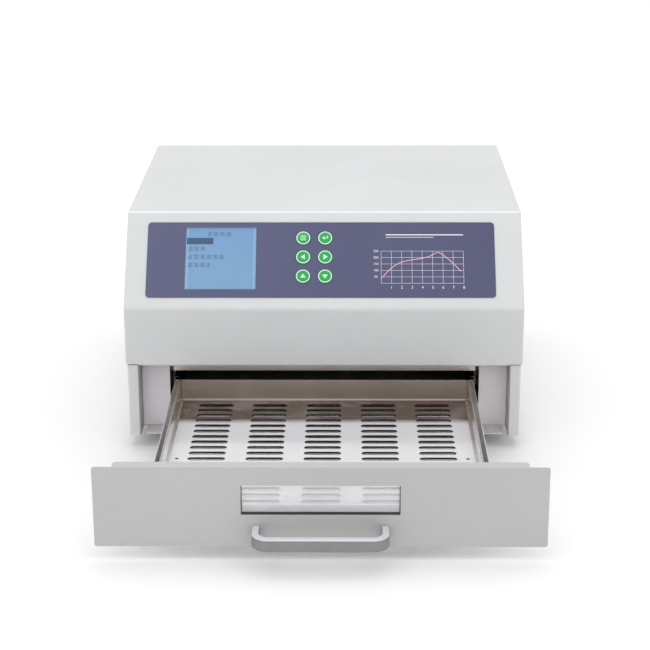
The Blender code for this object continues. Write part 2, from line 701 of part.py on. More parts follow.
def heater_reflector():
    """Sheet with one shallow trough over each tube."""
    rim = HEATER_HEIGHT + HEATER_RADIUS + REFLECTOR_RISE / 2
    half = heater_pitch() / 2
    path = [(heater_places()[0] - half, rim)]
    for y in heater_places():
        path += [(y - half * 0.5, rim + REFLECTOR_RISE), (y + half * 0.5, rim + REFLECTOR_RISE),
                 (y + half, rim)]
    edge = LINER_X - HOLDER_WIDTH - GAP * 2
    return extrude("YZ", -edge, edge, sheet_outline(path, REFLECTOR_SHEET))


def temperature_probe(sign):
    """Sheathed thermocouple with its collar outside the liner."""
    inner = LINER_X - PROBE_REACH
    collar = LINER_OUT_X + GAP
    wide = PROBE_RADIUS * 2.6
    end = SHIELD_X - CASE_SHEET - RUNNING_GAP
    profile = [(0, inner), (PROBE_RADIUS * 0.6, inner), (PROBE_RADIUS, inner + PROBE_RADIUS),
               (PROBE_RADIUS, collar), (wide, collar), (wide, collar + INSULATION / 2),
               (PROBE_RADIUS, collar + INSULATION / 2), (PROBE_RADIUS, end), (0, end)]
    probe = placed(turned(profile, 12), ALONG_X)
    return probe if sign > 0 else mirrored(probe)


def circulation_impeller():
    """Back plate, blades and shaft in one piece, its axis on y with y = 0 at the liner's back."""
    front = -LINER_SHEET - RUNNING_GAP * 2 - IMPELLER_DEPTH
    plate = IMPELLER_DEPTH * 0.15
    hub = SHAFT_RADIUS * 2.4
    disc_back = front + IMPELLER_DEPTH
    shaft_end = INSULATION + GAP * 2 + MOTOR_LENGTH * 0.6
    core = turned([(0, front), (hub, front), (hub, disc_back - plate),
                   (IMPELLER_RADIUS, disc_back - plate), (IMPELLER_RADIUS, disc_back),
                   (SHAFT_RADIUS, disc_back), (SHAFT_RADIUS, shaft_end), (0, shaft_end)], 24)
    wheel = placed(core, ALONG_Y)
    for index in range(IMPELLER_BLADES):
        blade = box((hub * 1.2, front + plate, -plate / 2),
                    (IMPELLER_RADIUS * 0.96, disc_back - plate / 2, plate / 2))
        wheel = join(wheel, placed(blade, turned_by(2 * math.pi * index / IMPELLER_BLADES, "Y")))
    return wheel


def fan_motor():
    """Motor can behind the insulation, its bore open towards the shaft."""
    bore = SHAFT_RADIUS + SHAFT_RUNNING_GAP
    flange = MOTOR_RADIUS * 1.25
    deep = MOTOR_LENGTH * 0.7
    can = turned([(0, 0), (flange, 0), (flange, CASE_SHEET * 2), (MOTOR_RADIUS, CASE_SHEET * 2),
                  (MOTOR_RADIUS, MOTOR_LENGTH), (0, MOTOR_LENGTH)], 24)
    hole = turned([(0, -deep), (bore, -deep), (bore, deep), (0, deep)], 24)
    return placed(cut(can, hole), ALONG_Y)


# ---------------------------------------------------------------- rear fittings

def exhaust_frame():
    """Square fan frame with a round duct, four struts and the motor's seat."""
    half = EXHAUST_SIZE / 2
    shell = extrude("XZ", 0, EXHAUST_DEPTH, rounded_rectangle(-half, -half, half, half, FAN_CORNER, 2),
                    circle(0, 0, EXHAUST_BORE, 32))
    strut = EXHAUST_DEPTH * 0.12
    for angle in (0, math.pi / 2):
        arm = box((-EXHAUST_BORE - strut, 0, -strut), (EXHAUST_BORE + strut, strut, strut))
        shell = join(shell, placed(arm, turned_by(angle, "Y")))
    seat = placed(turned([(0, 0), (EXHAUST_HUB, 0), (EXHAUST_HUB, strut), (0, strut)], 24), ALONG_Y)
    return join(shell, seat)


def exhaust_rotor():
    """Hub with pitched blades."""
    front = EXHAUST_DEPTH * 0.12 + RUNNING_GAP
    back = EXHAUST_DEPTH - RUNNING_GAP * 2
    hub = placed(turned([(0, front), (EXHAUST_HUB, front), (EXHAUST_HUB, back - MM),
                         (EXHAUST_HUB - MM, back), (0, back)], 24), ALONG_Y)
    tip = EXHAUST_BORE - RUNNING_GAP * 2
    middle = (front + back) / 2
    half_chord = (back - front) * 0.36
    blade_thickness = FAN_BLADE
    for index in range(EXHAUST_BLADES):
        blade = box((EXHAUST_HUB * 0.8, -half_chord, -blade_thickness),
                    (tip, half_chord, blade_thickness))
        pitch = turned_by(math.radians(40), "X")
        spread = turned_by(2 * math.pi * index / EXHAUST_BLADES, "Y")
        hub = join(hub, placed(blade, pitch, moved_by(0, middle, 0), spread))
    return hub


def fan_guard():
    """Pressed guard: rings and spokes in one plate."""
    half = EXHAUST_SIZE / 2
    guard = extrude("XZ", 0, GUARD_THICKNESS,
                    rounded_rectangle(-half, -half, half, half, FAN_CORNER, 2),
                    circle(0, 0, EXHAUST_BORE, 24))
    wire = GUARD_THICKNESS
    reach = EXHAUST_BORE + wire
    for angle in (math.pi / 4, -math.pi / 4):
        spoke = box((-reach, 0, -wire / 2), (reach, GUARD_THICKNESS, wire / 2))
        guard = join(guard, placed(spoke, turned_by(angle, "Y")))
    for share in (0.75, 0.5, 0.25):
        radius = EXHAUST_BORE * share
        ring = extrude("XZ", 0, GUARD_THICKNESS, circle(0, 0, radius, 24),
                       circle(0, 0, radius - wire, 24))
        guard = join(guard, ring)
    return guard


def mains_inlet():
    """Panel inlet with an open socket and three contact blades."""
    shell_x = SOCKET_WIDTH / 2 + CASE_SHEET * 2 - GAP
    shell_z = SOCKET_HEIGHT / 2 + CASE_SHEET * 2 - GAP
    half_w = INLET_WIDTH / 2
    half_h = INLET_HEIGHT / 2
    front = INLET_FLANGE + GAP
    flange = extrude("XZ", GAP, front, rounded_rectangle(-half_w, -half_h, half_w, half_h, INLET_CORNER, 2))
    inlet = join(flange, box((-shell_x, front - SOCKET_DEPTH - CASE_SHEET * 2, -shell_z),
                             (shell_x, GAP * 2, shell_z)))
    floor = front - SOCKET_DEPTH
    inlet = cut(inlet, box((-SOCKET_WIDTH / 2, floor, -SOCKET_HEIGHT / 2),
                           (SOCKET_WIDTH / 2, front * 2, SOCKET_HEIGHT / 2)))
    blade_x = SOCKET_WIDTH / 12
    blade_z = SOCKET_HEIGHT / 8
    length = SOCKET_DEPTH * 0.62
    for x, z in ((-SOCKET_WIDTH / 3.4, -blade_z), (SOCKET_WIDTH / 3.4, -blade_z), (0, blade_z * 1.5)):
        blade = box((x - blade_x / 2, floor - CASE_SHEET, z - blade_z),
                    (x + blade_x / 2, floor + length, z + blade_z))
        inlet = join(inlet, blade)
    return inlet


def fuse_holder():
    """Round screw-cap fuse holder."""
    neck = FUSE_CAP_RADIUS - CASE_SHEET - GAP
    tail = -INLET_TAIL
    cap = FUSE_CAP_LENGTH + GAP
    bevel = MM
    return placed(turned([(0, tail), (neck, tail), (neck, GAP), (FUSE_CAP_RADIUS, GAP),
                          (FUSE_CAP_RADIUS, cap - bevel), (FUSE_CAP_RADIUS - bevel, cap), (0, cap)],
                         20), ALONG_Y)


def switch_housing():
    """Bezel and box of the power switch."""
    half_w = SWITCH_WIDTH / 2
    half_h = SWITCH_HEIGHT / 2
    bezel = ROCKER_BEZEL
    body_x = half_w - CASE_SHEET * 1.5 - GAP
    body_z = half_h - CASE_SHEET * 0.6 - GAP
    depth = -ROCKER_HOUSING_DEPTH
    housing = join(box((-half_w, GAP, -half_h), (half_w, bezel, half_h)),
                   box((-body_x, depth, -body_z), (body_x, bezel / 2, body_z)))
    well_x = ROCKER_WIDTH / 2 + RUNNING_GAP
    well_z = ROCKER_HEIGHT / 2 + RUNNING_GAP / 2
    return cut(housing, box((-well_x, -ROCKER_WELL_DEPTH, -well_z), (well_x, bezel * 2, well_z)))


def power_rocker():
    """Rocker with two shallow faces, its pivot on x at the origin."""
    half = ROCKER_HEIGHT / 2 - RUNNING_GAP / 2
    crown = ROCKER_CROWN
    tip = crown + half * math.tan(ROCKER_TILT) * 0.6
    skirt = -ROCKER_SKIRT
    side = [(skirt, -half * 0.8), (skirt, half * 0.8), (tip - ROCKER_EDGE, half), (tip, half * 0.97),
            (crown, 0), (tip, -half * 0.97), (tip - ROCKER_EDGE, -half)]
    return extrude("YZ", -ROCKER_WIDTH / 2, ROCKER_WIDTH / 2, side)


# ---------------------------------------------------------------- controls, in the panel's frame

def control_overlay():
    """Printed film with openings for the display and the keys."""
    outline = rounded_rectangle(OVERLAY_START, OVERLAY_BOTTOM, OVERLAY_END, OVERLAY_UPPER,
                                OVERLAY_CORNER)
    holes = [circle(x, up, KEY_RADIUS + GAP) for x, up in key_places()]
    return extrude("XY", GAP, GAP + OVERLAY_THICKNESS, outline, screen_outline(), *holes)


def display_screen():
    """Display glass set back in its opening."""
    return extrude("XY", -SCREEN_RECESS - SCREEN_THICKNESS, -SCREEN_RECESS, screen_outline(-GAP))


def module_front():
    """Height of the display module's front face behind the panel."""
    return -max(SCREEN_RECESS + SCREEN_THICKNESS, CASE_SHEET) - GAP


def display_module():
    """Backlight and driver box behind the glass."""
    return extrude("XY", module_front() - MODULE_THICKNESS, module_front(),
                   screen_outline(MODULE_BORDER))


def board_front():
    """Height of the control board's front face behind the panel."""
    return module_front() - MODULE_THICKNESS - GAP


def control_board():
    """Board behind the display with one tall push switch under each key."""
    last_key = KEY_X + KEY_PITCH_X * (KEY_COLUMNS - 1)
    left = SCREEN_START - MODULE_BORDER - BOARD_MARGIN
    outline = rectangle(left, OVERLAY_BOTTOM, last_key + KEY_RADIUS + BOARD_MARGIN * 3,
                        OVERLAY_UPPER)
    front = board_front()
    board = extrude("XY", front - BOARD_THICKNESS, front, outline)
    top = key_back() - KEY_TRAVEL - GAP
    half = TACT_SIZE / 2
    for x, up in key_places():
        switch = rectangle(x - half, up - half, x + half, up + half)
        board = join(board, extrude("XY", front - BOARD_THICKNESS / 2, top, switch))
    return board


def key_back():
    """Height of a key's back face behind the panel."""
    return -CASE_SHEET - GAP - KEY_FLANGE_THICKNESS


def key_cap():
    """Round key with a low crown and a flange that keeps it behind the hood."""
    top = GAP + OVERLAY_THICKNESS + KEY_STAND_OUT
    flange = KEY_RADIUS + KEY_FLANGE
    shoulder = -CASE_SHEET - GAP
    rounding = KEY_STAND_OUT * 0.5
    return turned([(0, key_back()), (flange, key_back()), (flange, shoulder), (KEY_RADIUS, shoulder),
                   (KEY_RADIUS, top - rounding), (KEY_RADIUS - rounding, top - rounding * 0.3),
                   (KEY_RADIUS * 0.6, top), (0, top)], 24)


# ---------------------------------------------------------------- drawer, drawn closed

def window_outline(margin=0.0):
    """The drawer's window, grown by a margin."""
    half = WINDOW_WIDTH / 2 + margin
    return rectangle(-half, WINDOW_BOTTOM - margin, half, WINDOW_BOTTOM + WINDOW_HEIGHT + margin)


def front_back():
    """Depth of the drawer front's rear face."""
    return -GAP


def drawer_front():
    """Flat front with its window and the lip folded back along its top."""
    top = FASCIA_BOTTOM - FRONT_TOP_GAP
    outline = rounded_rectangle(-HALF_WIDTH, -FRONT_DROP, HALF_WIDTH, top, FRONT_CORNER, 2)
    face = extrude("XZ", front_back() - FRONT_SHEET, front_back(), outline, window_outline())
    lip_x = HALF_WIDTH - FRONT_LIP_INSET
    lip = rounded_rectangle(-lip_x, front_back() - FRONT_SHEET, lip_x,
                            front_back() + FRONT_LIP, LIP_CORNER, 2)
    lip_solid = extrude("XY", top - FRONT_SHEET, top, lip)
    root = box((-lip_x, front_back() - FRONT_SHEET * 0.8, top - FRONT_SHEET),
               (lip_x, front_back() + FRONT_SHEET * 3, top - FRONT_SHEET * 0.1))
    square = box((-lip_x, front_back(), top - FRONT_SHEET),
                 (lip_x, front_back() + FRONT_LIP / 2, top))
    trim = box((-BODY_WIDTH, -BODY_DEPTH, -BODY_HEIGHT),
               (BODY_WIDTH, front_back() - FRONT_SHEET / 2, BODY_HEIGHT))
    lip_solid = cut(lip_solid, trim)
    return join(face, join(square, lip_solid), root)


def window_pane():
    """Glass behind the window."""
    back = front_back() + GAP
    return extrude("XZ", back, back + PANE_THICKNESS, window_outline(PANE_BORDER))


def window_retainer():
    """Ring that holds the glass against the drawer front."""
    back = front_back() + GAP * 2 + PANE_THICKNESS
    return extrude("XZ", back, back + CASE_SHEET, window_outline(RETAINER_BORDER),
                   window_outline(PANE_BORDER / 3))


def handle_arc(x, y, radius, first, steps=4):
    """Quarter arc in plan from the angle first."""
    turns = [first + math.pi / 2 * step / steps for step in range(steps + 1)]
    return [(x + radius * math.cos(turn), y + radius * math.sin(turn)) for turn in turns]


def drawer_handle():
    """U-shaped bar handle, its legs against the drawer front."""
    outer = HANDLE_WIDTH / 2
    inner = outer - HANDLE_LEG
    bar_back = HANDLE_FRONT + HANDLE_BAR
    out_r = HANDLE_CORNER
    in_r = HANDLE_INNER_CORNER
    plan = [(-outer, HANDLE_BACK)]
    plan += handle_arc(-outer + out_r, HANDLE_FRONT + out_r, out_r, math.pi)
    plan += handle_arc(outer - out_r, HANDLE_FRONT + out_r, out_r, math.pi * 1.5)
    plan += [(outer, HANDLE_BACK), (inner, HANDLE_BACK)]
    plan += handle_arc(inner - in_r, bar_back + in_r, in_r, math.pi * 1.5)[::-1]
    plan += handle_arc(-inner + in_r, bar_back + in_r, in_r, math.pi)[::-1]
    plan += [(-inner, HANDLE_BACK)]
    handle = extrude("XY", HANDLE_BOTTOM, HANDLE_BOTTOM + HANDLE_HEIGHT, plan)
    return cut(handle, *[handle_screw_hole(sign) for sign in (-1, 1)])


def handle_screw_x(sign):
    return sign * (HANDLE_WIDTH - HANDLE_LEG) / 2


def handle_screw_z():
    return HANDLE_BOTTOM + HANDLE_HEIGHT / 2


def handle_screw_hole(sign):
    """Bore in the end of a handle leg."""
    radius = SCREW_RADIUS + GAP
    length = SCREW_LENGTH + GAP
    hole = turned([(0, -length), (radius, -length), (radius, length), (0, length)], 12)
    return placed(hole, ALONG_Y, moved_by(handle_screw_x(sign), HANDLE_BACK, handle_screw_z()))


def handle_screw(sign):
    """Pan-head screw from inside the drawer front into a handle leg."""
    head_face = front_back() + GAP
    head = head_face + SCREW_RADIUS * 1.2
    tip = HANDLE_BACK - SCREW_LENGTH + GAP
    profile = [(0, tip), (SCREW_RADIUS * 0.7, tip), (SCREW_RADIUS, tip + MM), (SCREW_RADIUS, head_face),
               (SCREW_HEAD_RADIUS, head_face), (SCREW_HEAD_RADIUS * 0.85, head), (0, head)]
    return placed(turned(profile, 12), ALONG_Y, moved_by(handle_screw_x(sign), 0, handle_screw_z()))


def pierced_front():
    """The drawer front with the clearance holes of the handle screws."""
    front = drawer_front()
    radius = SCREW_RADIUS + GAP
    for sign in (-1, 1):
        hole = turned([(0, -FRONT_LIP), (radius, -FRONT_LIP), (radius, FRONT_LIP), (0, FRONT_LIP)], 12)
        place = moved_by(handle_screw_x(sign), 0, handle_screw_z())
        front = cut(front, placed(hole, ALONG_Y, place))
    return front


def slot_outlines():
    """Rows of slots in the tray floor."""
    slots = []
    first_x = SLOT_SIDE + SLOT_LENGTH / 2 - TRAY_INNER_X
    pitch_x = -2 * first_x / (SLOT_COLUMNS - 1)
    first_y = TRAY_FRONT + SLOT_FIRST
    rows = int((TRAY_BACK - SLOT_LAST - first_y) / SLOT_PITCH) + 1
    for column in range(SLOT_COLUMNS):
        x = first_x + column * pitch_x
        for row in range(rows):
            y = first_y + row * SLOT_PITCH
            slots.append(rectangle(x - SLOT_LENGTH / 2, y - SLOT_WIDTH / 2,
                                   x + SLOT_LENGTH / 2, y + SLOT_WIDTH / 2))
    return slots


def solder_tray():
    """Slotted tray: flanged sides that reach the drawer front, a back wall and a short apron."""
    inner = TRAY_INNER_X
    outer = inner + TRAY_SHEET
    back = TRAY_BACK
    under = TRAY_FLOOR - TRAY_SHEET
    rim = TRAY_RIM
    floor = extrude("XY", under, TRAY_FLOOR, rectangle(-inner, TRAY_FRONT, inner, back - TRAY_SHEET),
                    *slot_outlines())
    wing = [(-inner - TRAY_FLANGE, rim), (-inner, rim), (-inner, under)]
    left = extrude("XZ", front_back() + GAP, back, sheet_outline(wing, TRAY_SHEET))
    wall = box((-outer, back - TRAY_SHEET, under), (outer, back, rim))
    apron = box((-inner, TRAY_FRONT, TRAY_FLOOR - TRAY_APRON),
                (inner, TRAY_FRONT + TRAY_SHEET, under + TRAY_SHEET / 2))
    return join(wall, left, mirrored(left), floor, apron)


# ---------------------------------------------------------------- slides

def rail_places():
    """For each rail the x of its lips' ends, the x of its web's far face, its bottom and its top."""
    tray_side = TRAY_INNER_X + TRAY_SHEET
    fixed_web = LINER_X - GAP - PACKER_WIDTH
    fixed_top = TRAY_RIM - RAIL_DROP
    fixed_bottom = fixed_top - RAIL_HEIGHT
    middle_web = fixed_web - RAIL_SHEET - RAIL_WEB_SPACE
    step = RAIL_SHEET + RAIL_STEP
    return {"fixed": (fixed_web - RAIL_REACH, fixed_web, fixed_bottom, fixed_top),
            "middle": (middle_web - MIDDLE_RAIL_REACH, middle_web,
                       fixed_bottom + step, fixed_top - step),
            "inner": (middle_web - RAIL_SHEET - RAIL_WEB_SPACE, tray_side + GAP,
                      fixed_bottom + step * 2, fixed_top - step * 2)}


def rail(kind, sign):
    """One C-shaped rail of a telescopic slide."""
    lip, web, bottom, top = rail_places()[kind]
    path = [(lip * sign, bottom), (web * sign, bottom), (web * sign, top), (lip * sign, top)]
    thickness = -RAIL_SHEET * sign if kind != "inner" else RAIL_SHEET * sign
    start = TRAY_FRONT + GAP if kind == "inner" else RAIL_START
    return extrude("XZ", start, start + RAIL_LENGTH, sheet_outline(path, thickness))


def fixed_rail(sign):
    """Outer rail with the packer that is welded to it and meets the liner's wall."""
    _, web, bottom, top = rail_places()["fixed"]
    inset = RAIL_SHEET * 2
    packer = box(((web - RAIL_SHEET / 2) * sign, RAIL_START + PACKER_INSET, bottom + inset),
                 ((LINER_X - GAP) * sign, RAIL_START + RAIL_LENGTH - PACKER_INSET, top - inset))
    return join(rail("fixed", sign), packer)


# ---------------------------------------------------------------- power parts on the heat shield

def power_board():
    """Mains board on its standoffs."""
    bottom = STANDOFF
    half_w = POWER_BOARD_WIDTH / 2
    half_d = POWER_BOARD_DEPTH / 2
    board = box((-half_w, -half_d, bottom), (half_w, half_d, bottom + BOARD_THICKNESS))
    post = BOARD_POST
    for x in (-1, 1):
        for y in (-1, 1):
            centre_x = x * (half_w - post * 2)
            centre_y = y * (half_d - post * 2)
            leg = box((centre_x - post, centre_y - post, 0),
                      (centre_x + post, centre_y + post, bottom + BOARD_THICKNESS / 2))
            board = join(board, leg)
    relay_height = RELAY_HEIGHT
    for index in range(2):
        x = -half_w * 0.6 + index * RELAY_PITCH
        relay = box((x, half_d * 0.2, bottom + BOARD_THICKNESS / 2),
                    (x + RELAY_LENGTH, half_d * 0.75, bottom + relay_height))
        board = join(board, relay)
    return board


def heatsink():
    """Finned aluminium block."""
    base = SINK_BASE
    half = HEATSINK_WIDTH / 2
    fin = SINK_FIN
    pitch = (HEATSINK_WIDTH - fin) / (HEATSINK_FINS - 1)
    outline = [(-half, 0), (half, 0)]
    for index in reversed(range(HEATSINK_FINS)):
        left = -half + index * pitch
        outline += [(left + fin, base), (left + fin, HEATSINK_HEIGHT), (left, HEATSINK_HEIGHT),
                    (left, base)]
    tidy = [point for index, point in enumerate(outline) if index not in (2, len(outline) - 1)]
    return extrude("XZ", -HEATSINK_DEPTH / 2, HEATSINK_DEPTH / 2, tidy)


def transformer():
    """Laminated core with its winding."""
    half_w = TRANSFORMER_WIDTH / 2
    half_d = TRANSFORMER_DEPTH / 2
    core = box((-half_w, -half_d / 2, 0), (half_w, half_d / 2, TRANSFORMER_HEIGHT))
    winding = box((-half_w * 0.6, -half_d, TRANSFORMER_HEIGHT * 0.15),
                  (half_w * 0.6, half_d, TRANSFORMER_HEIGHT * 0.85))
    return join(core, winding)


def control_ribbon():
    """Flat cable from the control board back to the power board."""
    start = panel_to_machine() @ Vector((0, (OVERLAY_BOTTOM + OVERLAY_UPPER) / 2,
                                         board_front() - BOARD_THICKNESS - RIBBON_THICKNESS * 2))
    drop = start + Vector((0, RIBBON_OUT, RIBBON_RISE))
    rest = SHIELD_TOP + STANDOFF + BOARD_THICKNESS + GAP
    end_y = power_board_place()[1] - POWER_BOARD_DEPTH / 2 + RIBBON_LANDING
    path = [(start.y, start.z), (drop.y, drop.z), (end_y - RIBBON_BEND, rest + RIBBON_LIFT),
            (end_y - RIBBON_FLAT, rest), (end_y, rest)]
    left = KEY_X - RIBBON_WIDTH
    return extrude("YZ", left, left + RIBBON_WIDTH, sheet_outline(path, -RIBBON_THICKNESS))


def on_shield(x):
    """A place on the heat shield, in the row of power parts."""
    return (x, SHIELD_SETBACK + POWER_ROW_SETBACK, SHIELD_TOP + GAP)


def power_board_place():
    return on_shield((TRANSFORMER_WIDTH - HEATSINK_WIDTH) / 2)


def heatsink_place():
    beside = POWER_BOARD_WIDTH / 2 + POWER_PART_SPACE + HEATSINK_WIDTH / 2
    return on_shield(power_board_place()[0] + beside)


def transformer_place():
    beside = POWER_BOARD_WIDTH / 2 + POWER_PART_SPACE + TRANSFORMER_WIDTH / 2
    return on_shield(power_board_place()[0] - beside)


# ---------------------------------------------------------------- assembly

def build_case(machine):
    add_part("hood_cover", hood_cover(), WARM_WHITE_PAINT, machine)
    add_part("chassis_side_left", chassis_side(-1), WARM_WHITE_PAINT, machine)
    add_part("chassis_side_right", chassis_side(1), WARM_WHITE_PAINT, machine)
    add_part("base_plate", base_plate(), GREY_PAINT, machine)
    add_part("front_frame", front_frame(), GREY_PAINT, machine)
    add_part("rear_panel", rear_panel(), WARM_WHITE_PAINT, machine)
    foot_x = HALF_WIDTH - FOOT_INSET_X
    places = {"front": FOOT_INSET_FRONT, "rear": BODY_DEPTH - FOOT_INSET_REAR}
    for end, y in places.items():
        for side, x in (("left", -foot_x), ("right", foot_x)):
            add_part(f"foot_{end}_{side}", foot(), BLACK_RUBBER, machine, (x, y, 0))


def build_chamber(machine):
    add_part("chamber_liner", chamber_liner(), BRIGHT_STEEL, machine)
    add_part("chamber_insulation", chamber_insulation(), FIBRE_BLANKET, machine)
    add_part("floor_insulation", floor_insulation(), FIBRE_BLANKET, machine)
    add_part("heat_shield", heat_shield(), ZINC, machine)
    for index, y in enumerate(heater_places()):
        place = (0, y, HEATER_HEIGHT)
        add_part(f"heater_tube_{index + 1}", heater_tube(), MILKY_QUARTZ, machine, place)
    add_part("heater_reflector", heater_reflector(), BRIGHT_STEEL, machine)
    for side, sign in (("left", -1), ("right", 1)):
        add_part(f"heater_holder_{side}", heater_holder(sign), CERAMIC, machine)
        probe_place = (0, PROBE_Y, PROBE_HEIGHT)
        add_part(f"temperature_probe_{side}", temperature_probe(sign), DARK_STEEL, machine, probe_place)
    add_part("circulation_impeller", circulation_impeller(), BRIGHT_STEEL, machine,
             (0, LINER_BACK, FAN_AXIS_HEIGHT))
    add_part("circulation_motor", fan_motor(), DARK_STEEL, machine,
             (0, BLANKET_OUT_BACK + GAP, FAN_AXIS_HEIGHT))


def build_rear_fittings(machine):
    fan_front = REAR_PANEL_IN - GAP - EXHAUST_DEPTH
    add_part("exhaust_fan_frame", exhaust_frame(), BLACK_PLASTIC, machine,
             (EXHAUST_X, fan_front, EXHAUST_Z))
    add_part("exhaust_fan_rotor", exhaust_rotor(), BLACK_PLASTIC, machine,
             (EXHAUST_X, fan_front, EXHAUST_Z))
    add_part("exhaust_fan_guard", fan_guard(), ZINC, machine,
             (EXHAUST_X, REAR_PANEL_OUT + GAP, EXHAUST_Z))
    add_part("mains_inlet", mains_inlet(), BLACK_PLASTIC, machine,
             (INLET_X, REAR_PANEL_OUT, POWER_ROW_Z))
    add_part("fuse_holder", fuse_holder(), BLACK_PLASTIC, machine,
             (FUSE_X, REAR_PANEL_OUT, POWER_ROW_Z))
    add_part("power_switch_housing", switch_housing(), BLACK_PLASTIC, machine,
             (SWITCH_X, REAR_PANEL_OUT, POWER_ROW_Z))
    add_part("power_rocker", power_rocker(), BLACK_PLASTIC, machine,
             (SWITCH_X, REAR_PANEL_OUT, POWER_ROW_Z), (ROCKER_TILT, 0, 0))


def build_controls(machine):
    panel = make_empty("panel_frame", machine, (0, HOOD_FRONT, FASCIA_TOP), (SLOPE_ANGLE, 0, 0))
    add_part("control_overlay", control_overlay(), NAVY_FILM, panel)
    add_part("display_screen", display_screen(), SCREEN_BLUE, panel)
    add_part("display_module", display_module(), ZINC, panel)
    add_part("control_board", control_board(), BOARD_GREEN, panel)
    cap = key_cap()
    names = ("key_menu", "key_enter", "key_left", "key_right", "key_up", "key_down")
    for name, (x, up) in zip(names, key_places()):
        add_part(name, cap.copy(), GREEN_PLASTIC, panel, (x, up, 0))


def build_drawer(machine):
    drawer = make_empty("drawer_frame", machine, (0, -DRAWER_OPEN, 0))
    add_part("drawer_front", pierced_front(), WARM_WHITE_PAINT, drawer)
    add_part("window_pane", window_pane(), CLEAR_GLASS, drawer)
    add_part("window_retainer", window_retainer(), ZINC, drawer)
    add_part("drawer_handle", drawer_handle(), SATIN_ALUMINIUM, drawer)
    add_part("solder_tray", solder_tray(), BRIGHT_STEEL, drawer)
    half_way = make_empty("middle_rail_frame", machine, (0, -DRAWER_OPEN / 2, 0))
    for side, sign in (("left", -1), ("right", 1)):
        add_part(f"handle_screw_{side}", handle_screw(sign), ZINC, drawer)
        add_part(f"slide_inner_{side}", rail("inner", sign), ZINC, drawer)
        add_part(f"slide_middle_{side}", rail("middle", sign), ZINC, half_way)
        add_part(f"slide_fixed_{side}", fixed_rail(sign), ZINC, machine)


def build_power_parts(machine):
    add_part("power_board", power_board(), BOARD_GREEN, machine, power_board_place())
    add_part("power_heatsink", heatsink(), SATIN_ALUMINIUM, machine, heatsink_place())
    add_part("supply_transformer", transformer(), COPPER_WINDING, machine, transformer_place())
    add_part("control_ribbon", control_ribbon(), GREY_CABLE, machine)


def main():
    for item in list(bpy.data.objects):
        bpy.data.objects.remove(item)
    machine = make_empty("machine_frame", None, (0, MACHINE_Y, FOOT_HEIGHT))
    build_case(machine)
    build_chamber(machine)
    build_rear_fittings(machine)
    build_controls(machine)
    build_drawer(machine)
    build_power_parts(machine)


main()
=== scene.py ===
"""Finished surfaces and fittings of a bench-top drawer reflow oven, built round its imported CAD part.

Sizes inside the functions are in millimetres, in one of three frames: the machine's (x to the
right, y to the back from the chassis front, z up from the chassis edge), the drawer's (the same
axes, moved with the open drawer) and the panel's (x right, y up the slope, z out of the panel).
"""

import math

import bmesh
import bpy
from bpy.props import FloatProperty, FloatVectorProperty, IntProperty, PointerProperty
from mathutils import Matrix, Vector


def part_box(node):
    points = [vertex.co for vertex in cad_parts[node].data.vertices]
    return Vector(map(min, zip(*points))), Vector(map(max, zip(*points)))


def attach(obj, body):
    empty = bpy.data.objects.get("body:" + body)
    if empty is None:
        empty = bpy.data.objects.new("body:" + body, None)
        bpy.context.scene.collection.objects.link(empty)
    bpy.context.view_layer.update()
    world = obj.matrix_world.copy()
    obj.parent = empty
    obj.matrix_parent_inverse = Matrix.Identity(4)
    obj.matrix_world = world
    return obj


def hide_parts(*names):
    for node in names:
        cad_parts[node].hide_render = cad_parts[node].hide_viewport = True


bl_info = {
    "name": "Drawer reflow oven",
    "version": (1, 0, 0),
    "blender": (4, 5, 0),
    "location": "View3D > Sidebar > Reflow oven",
    "description": "Builds the finished look of a bench-top reflow oven round its CAD part",
    "category": "Object",
}

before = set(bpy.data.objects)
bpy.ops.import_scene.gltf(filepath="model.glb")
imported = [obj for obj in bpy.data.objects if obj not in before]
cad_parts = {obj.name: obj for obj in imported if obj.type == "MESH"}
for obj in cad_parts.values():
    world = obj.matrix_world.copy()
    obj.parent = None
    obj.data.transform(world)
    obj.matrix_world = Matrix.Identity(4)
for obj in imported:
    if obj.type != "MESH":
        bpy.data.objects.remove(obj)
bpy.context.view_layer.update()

MM = 0.001
TO_METRES = Matrix.Scale(MM, 4)

# Sizes shared by several pieces, in millimetres
HALF_WIDTH = 215.0
SHEET = 1.2
FASCIA_Y = -1.5
FASCIA_BOTTOM = 81.6
SIDE_BOTTOM = 83.2
FOLD_Z = 146.0
RIDGE_Y = 71.8
TOP_Z = 235.0
BACK_Y = 398.0
STRIP_X = 201.1
FILM_BACK = 0.3
FILM_FACE = 0.8
LINER_X = 170.0
TRAY_BACK = 292.0
TRAY_RIM = 60.0
SCREEN = (-150.5, 23.0, -73.5, 96.5)
KEY_CENTRES = [(x, up) for up in (82.8, 60.35, 37.9) for x in (-22.6, 1.2)]
KEY_NAMES = ("key_menu", "key_enter", "key_left", "key_right", "key_up", "key_down")
HANDLE_SCREW = (61.3, 15.85)
EXHAUST = (105.0, 160.0)
POWER_ROW_Z = 48.0
HEATER_Y = (71.0, 137.0, 203.0, 269.0)
HEATER_Z = 118.0
LIP_REACH = 10.0
FAN_SCREW = 35.7
TUBE_CAP = [(0, 0), (3.2, 0), (3.5, 0.4), (3.5, 5.6), (3.9, 5.6), (3.9, 11), (0, 11)]

# Slide rails on the right: lip x, web x, lower z, upper z
RAIL_LENGTH = 270.2
RAIL_SECTION = {
    "fixed": (160.9, 165.5, 36.6, 57.1),
    "middle": (159.3, 163.2, 39.2, 54.5),
    "inner": (161.5, 158.4, 41.8, 51.9),
}

